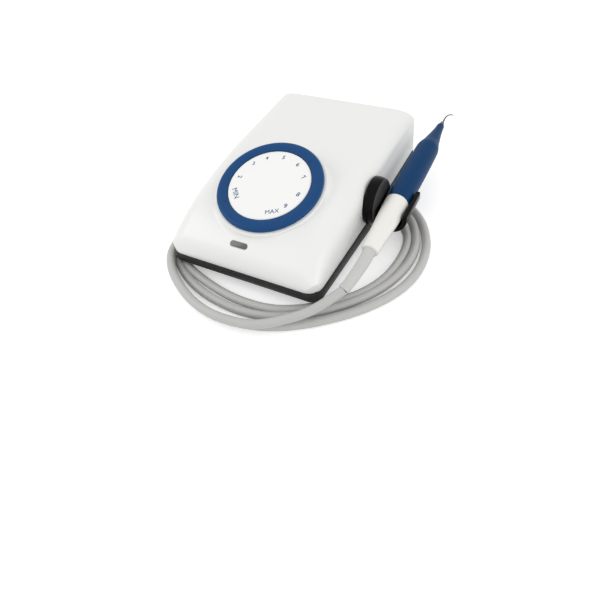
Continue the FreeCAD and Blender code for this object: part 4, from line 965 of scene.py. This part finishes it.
class ScalerDial(bpy.types.Operator):
    """Turn the blue ring with its lip and marks, and the scale plate with its numbers"""

    bl_idname = "scaler.dial"
    bl_label = "Power dial"

    # the strokes' places in degrees; each number with its place, its own turn and its height
    MARKS = (89, 52, 17, -17, -51, -137, -173)
    NUMBERS = (("MIN", 214.1, -50, 5.9), ("2", 179, -80, 4.9), ("3", 145.2, 12, 4.7),
               ("4", 120.8, 6, 4.5), ("5", 91.2, 0, 4.9), ("6", 59.3, -8, 5.0),
               ("7", 28.9, -20, 4.9), ("8", -6.4, -10, 5.3), ("9", -34.7, 6, 5.5),
               ("MAX", -57.8, 25, 5.0))

    def execute(self, context):
        dial = context.scene.scaler_dial
        place = stand(0, dial.y, dial.z, dial.tilt)
        outer, hole = dial.ring, dial.ring_hole
        bm = lathe([(hole, -2.8), (hole, -0.55), (hole + 0.12, -0.3), (hole + 0.4, -0.18),
                    (outer - 3.2, 0.0), (outer - 1.9, -0.02), (outer - 1.5, -0.12),
                    (outer - 0.75, -0.62), (outer - 0.25, -1.05), (outer - 0.05, -1.5),
                    (outer, -2.2), (outer, -3.6), (outer - 0.35, -4.0), (hole + 1, -4.0),
                    (hole, -3.4)], place, 192, closed=True)
        keep_piece(bm, "ring_skin", "dial", FINISH["ring_blue"], ("dial_ring",), 30.0)
        self.marks(place, hole)
        radius = dial.plate
        bm = lathe([(0.0, -0.62), (10.0, -0.64), (20.0, -0.7), (radius - 1.6, -0.8),
                    (radius - 0.6, -0.9), (radius - 0.15, -1.1), (radius, -1.5), (radius, -2.4),
                    (0.0, -2.4)], place, 160)
        keep_piece(bm, "plate_skin", "unit", FINISH["plate_white"],
                   ("scale_plate",), 30.0)
        self.numbers(context, dial, place)
        return {"FINISHED"}

    def marks(self, place, hole):
        """Thin dark strokes on the ring's top face, standing for its tick grooves; their dark
        colour is painted shade.
        """
        # painted shade: the strokes' dark blue stands for the shade inside the ring's tick grooves
        ink = moulded("Mark ink", (0.004, 0.02, 0.07), 0.4, spread=0.1)
        bm = bmesh.new()
        for degrees in self.MARKS:
            made = bmesh.ops.create_cube(bm, size=1.0)["verts"]
            bmesh.ops.scale(bm, vec=(3.4, 0.42, 0.3), verts=made)
            bmesh.ops.translate(bm, vec=(hole + 2.6, 0.0, -0.1), verts=made)
            bmesh.ops.rotate(bm, cent=(0, 0, 0), verts=made,
                             matrix=Matrix.Rotation(math.radians(degrees), 3, "Z"))
        round_edges(bm, bm.edges[:], 0.06, 2)
        bmesh.ops.transform(bm, matrix=place, verts=bm.verts)
        keep_piece(bm, "ring_marks", "dial", ink)

    def numbers(self, context, dial, place):
        """Printed numbers round the scale plate, as thin raised ink."""
        ink = moulded("Number ink", (0.03, 0.09, 0.24), 0.45, spread=0.08, shine=0.2)
        bm = bmesh.new()
        for label, degrees, turned, size in self.NUMBERS:
            curve = bpy.data.curves.new("number", "FONT")
            curve.body = label
            curve.size = size
            # thicker strokes would close the letter M
            curve.offset = 0.0 if "M" in label else 0.05
            curve.align_x = "CENTER"
            curve.align_y = "CENTER"
            curve.extrude = 0.04
            curve.resolution_u = 4
            text = bpy.data.objects.new("number", curve)
            context.collection.objects.link(text)
            mesh = bpy.data.meshes.new_from_object(text)
            bpy.data.objects.remove(text)
            turn = Matrix.Rotation(math.radians(turned), 4, "Z")
            angle = math.radians(degrees)
            spot = Vector((math.cos(angle), math.sin(angle), 0)) * dial.number_radius
            mesh.transform(Matrix.Translation(spot + Vector((0, 0, -0.72))) @ turn)
            bm.from_mesh(mesh)
            bpy.data.meshes.remove(mesh)
        bmesh.ops.remove_doubles(bm, verts=bm.verts, dist=0.0005)
        bmesh.ops.transform(bm, matrix=place, verts=bm.verts)
        keep_piece(bm, "scale_numbers", "unit", ink)


class ScalerLamp(bpy.types.Operator):
    """Set the pill-shaped lamp lens into the front slope"""

    bl_idname = "scaler.lamp"
    bl_label = "Lamp"

    def execute(self, context):
        x, y, slope = -2.9, -85.9, 32.0
        place = stand(x, y, cover_height(x, y), slope)
        keep_piece(self.pill(15.6, 5.3, 0.12, 1.4, place), "lamp_rim", "unit",
                   moulded("Lamp rim", (0.5, 0.5, 0.49), 0.3, coat=0.2))
        keep_piece(self.pill(14.6, 4.3, 0.3, 1.6, place), "lamp_lens", "unit",
                   FINISH["lamp_grey"], ("led_window",))
        return {"FINISHED"}

    def pill(self, length, width, proud, depth, place):
        """A pill-shaped block with a softly rounded upper edge."""
        bm = bmesh.new()
        end = (length - width) / 2
        rim = bmesh.ops.create_circle(bm, cap_ends=True, radius=width / 2, segments=48)["verts"]
        for vertex in rim:
            vertex.co.x += math.copysign(end, vertex.co.x)
        bmesh.ops.translate(bm, vec=(0, 0, proud + depth), verts=extruded(bm, bm.faces[:]))
        bmesh.ops.translate(bm, vec=(0, 0, -depth), verts=bm.verts)
        bmesh.ops.recalc_face_normals(bm, faces=bm.faces)
        upper = [edge for edge in sharp_edges(bm, 50)
                 if all(vertex.co.z > 0 for vertex in edge.verts)]
        round_edges(bm, upper, 0.25, 4)
        bmesh.ops.transform(bm, matrix=place, verts=bm.verts)
        return bm


class ScalerHandpiece(bpy.types.Operator):
    """Turn the handpiece's blue sleeve with its shoulder and slim nose"""

    bl_idname = "scaler.handpiece"
    bl_label = "Handpiece"

    def execute(self, context):
        skin = cast_points([(9.35, -3.7), (9.5, 4.0), (9.72, 18.0), (9.72, 32.0), (9.55, 46.0),
                            (9.35, 56.0), (9.22, 61.5), (8.95, 64.8), (8.3, 67.6), (7.4, 70.6),
                            (6.6, 74.0), (5.85, 78.0), (5.1, 82.0), (4.45, 86.0), (3.85, 90.0),
                            (3.4, 94.0), (3.15, 96.8)])
        profile = [(7.7, -3.6), (7.7, -4.0), (9.0, -4.0), (9.25, -3.9)] + skin + [
            (3.0, 97.7), (2.7, 98.25), (2.3, 98.48), (2.0, 98.5), (2.0, 96.0), (2.0, 90.0),
            (4.6, 74.0), (7.5, 60.0), (7.7, 50.0)]
        bm = lathe(profile, along_handpiece(context), 128, closed=True)
        keep_piece(bm, "sleeve_skin", "handpiece", FINISH["sleeve_blue"],
                   ("handpiece_sleeve",))
        return {"FINISHED"}


class ScalerConnector(bpy.types.Operator):
    """Turn the white connector with its rim and chamfered end"""

    bl_idname = "scaler.connector"
    bl_label = "Connector"

    def execute(self, context):
        skin = cast_points([(9.32, -5.6), (9.28, -8.0), (9.05, -14.0), (8.6, -23.0), (8.0, -32.0),
                            (7.35, -42.0), (6.85, -51.0), (6.7, -54.6)])
        profile = [(7.5, -4.0), (8.5, -4.0), (8.9, -4.1), (9.16, -4.4), (9.28, -4.9)] + skin + [
            (6.55, -55.8), (6.2, -56.7), (5.8, -57.1), (5.4, -57.2), (0.0, -57.2), (0.0, -52.0),
            (5.2, -51.0), (6.0, -40.0), (6.2, -16.0), (7.5, -15.9)]
        bm = lathe(profile, along_handpiece(context), 128)
        keep_piece(bm, "connector_skin", "connector", FINISH["connector_white"],
                   ("connector_shell",))
        return {"FINISHED"}


class ScalerBoot(bpy.types.Operator):
    """Draw the bend-relief boot along the hose, down to its end ring"""

    bl_idname = "scaler.boot"
    bl_label = "Boot"

    LINE = ((84.5, -45.3, 27.75, 4.6), (84.5, -50.5, 27.5, 4.6), (84.35, -60.0, 26.6, 4.5),
            (83.1, -70.0, 24.6, 4.3), (81.4, -78.0, 22.3, 4.12), (80.1, -82.3, 20.85, 4.05),
            (79.9, -82.8, 20.7, 4.3), (79.45, -84.2, 20.25, 4.32), (79.3, -84.6, 20.1, 4.1),
            (79.25, -84.75, 20.05, 3.5))

    def execute(self, context):
        bm = bmesh.new()
        bmesh.ops.create_circle(bm, cap_ends=True, radius=1.0, segments=48)
        face = bm.faces[:][0]
        stations = self.stations()
        bmesh.ops.transform(bm, matrix=stations[0], verts=bm.verts)
        for before, after in zip(stations, stations[1:]):
            made = bmesh.ops.extrude_face_region(bm, geom=[face])["geom"]
            moved = [item for item in made if isinstance(item, bmesh.types.BMVert)]
            bmesh.ops.transform(bm, matrix=after @ before.inverted(), verts=moved)
            face = [item for item in made if isinstance(item, bmesh.types.BMFace)][0]
        bmesh.ops.recalc_face_normals(bm, faces=bm.faces)
        keep_piece(bm, "boot_skin", "connector", FINISH["boot_grey"], ("hose_boot",))
        return {"FINISHED"}

    def stations(self):
        """One matrix per ring of the boot: its place, direction and radius."""
        smooth = smooth_line(self.LINE, lambda length: 6 if length > 3 else 1)
        stations = []
        for i, point in enumerate(smooth):
            ahead = smooth[min(i + 1, len(smooth) - 1)].xyz - smooth[max(i - 1, 0)].xyz
            turn = ahead.to_track_quat("Z", "Y").to_matrix().to_4x4()
            stations.append(Matrix.Translation(at(*point.xyz)) @ turn
                            @ Matrix.Scale(point.w * MM, 4))
        return stations


class ScalerHolder(bpy.types.Operator):
    """Mould the side holder: its round seat and the open trough for the handpiece"""

    bl_idname = "scaler.holder"
    bl_label = "Holder"

    def execute(self, context):
        wall, face_starts = 64.4, 8.45
        face = Matrix.Translation(at(wall, -0.4, 29.7)) @ Matrix.Rotation(
            math.pi / 2, 4, "Y") @ Matrix.Scale(MM, 4)
        bm = lathe([(0.0, 0.0), (17.9, 0.0), (18.4, 0.3), (18.6, 0.9), (18.65, 3.6), (18.5, 5.6),
                    (18.1, 7.2), (17.5, 8.4), (16.8, 9.1), (16.2, 9.35), (15.8, 9.4), (15.5, 9.25),
                    (8.0, 9.25), (0.0, 9.25)], face, 160)
        disc = keep_piece(bm, "holder_seat", "unit", FINISH["holder_black"],
                          ("handpiece_holder",), 25.0)
        disc.data.materials.append(moulded("Holder face", (0.032, 0.032, 0.033), 0.62, 1400.0,
                                           0.000008, 0.05, shine=0.3))
        outer_face = at(wall + face_starts, 0, 0).x
        for polygon in disc.data.polygons:
            if polygon.center.x > outer_face:
                polygon.material_index = 1
        self.trough(along_handpiece(context))
        return {"FINISHED"}

    def trough(self, place):
        """A half-round gutter with upright arms, its front end cut on a slant."""
        inner, outer, arm = 10.3, 13.8, 4.0
        front, rear = -40.0, 9.5
        bm = bmesh.new()
        arc = [math.radians(180 * i / 32) for i in range(33)]
        outside = [(-outer * math.cos(a), outer * math.sin(a)) for a in arc]
        inside = [(inner * math.cos(a), inner * math.sin(a)) for a in arc]
        shape = [(-outer, -arm)] + outside + [(outer, -arm), (inner, -arm)] + inside + [
            (-inner, -arm)]
        face = bm.faces.new([bm.verts.new((x, y, front)) for x, y in shape])
        bmesh.ops.translate(bm, vec=(0, 0, rear - front), verts=extruded(bm, [face]))
        bmesh.ops.bisect_plane(bm, geom=bm.verts[:] + bm.edges[:] + bm.faces[:], dist=0.001,
                               plane_co=(0, -arm, -20.5), plane_no=(0, -0.11, -1.0),
                               clear_outer=True)
        bmesh.ops.holes_fill(bm, edges=[edge for edge in bm.edges if edge.is_boundary], sides=0)
        bmesh.ops.recalc_face_normals(bm, faces=bm.faces)
        round_edges(bm, sharp_edges(bm, 40), 1.2, 4)
        bmesh.ops.transform(bm, matrix=place, verts=bm.verts)
        keep_piece(bm, "holder_trough", "unit", FINISH["holder_black"])


class ScalerFinishes(bpy.types.Operator):
    """Give each carried-over piece its finish"""

    bl_idname = "scaler.finishes"
    bl_label = "Finishes"

    def execute(self, context):
        for part in frame["record"]["subparts"]:
            piece = frame["nodes"].get(part["node"])
            if piece is None:
                raise RuntimeError("no CAD piece for " + part["node"])
            piece.data.materials.clear()
            piece.data.materials.append(FINISH[part["material_slot"]])
        return {"FINISHED"}


class ScalerPanel(bpy.types.Panel):
    """Lists the scaler's pieces in the sidebar"""

    bl_idname = "VIEW3D_PT_scaler"
    bl_label = "Scaler"
    bl_space_type = "VIEW_3D"
    bl_region_type = "UI"
    bl_category = "Scaler"

    def draw(self, context):
        column = self.layout.column()
        for step in STEPS:
            column.operator(step.bl_idname)


GROUPS = {
    "scaler_case": ScalerCaseSettings,
    "scaler_dial": ScalerDialSettings,
    "scaler_handpiece": ScalerHandpieceSettings,
    "scaler_hose": ScalerHoseSettings,
    "scaler_colour": ScalerColourSettings,
    "scaler_stage": ScalerStageSettings,
}
STEPS = (ScalerStage, ScalerHose, ScalerCover, ScalerBase, ScalerDial, ScalerLamp,
         ScalerHandpiece, ScalerConnector, ScalerBoot, ScalerHolder, ScalerFinishes)


def register():
    for name, group in GROUPS.items():
        bpy.utils.register_class(group)
        setattr(bpy.types.Scene, name, PointerProperty(type=group))
    for item in STEPS + (ScalerPanel,):
        bpy.utils.register_class(item)


def unregister():
    for item in (ScalerPanel,) + STEPS[::-1]:
        bpy.utils.unregister_class(item)
    for name, group in GROUPS.items():
        delattr(bpy.types.Scene, name)
        bpy.utils.unregister_class(group)


def main():
    register()
    FINISH.update(make_finishes())
    for step in STEPS:
        group, name = step.bl_idname.split(".")
        getattr(getattr(bpy.ops, group), name)()


if __name__ == "__main__":
    main()
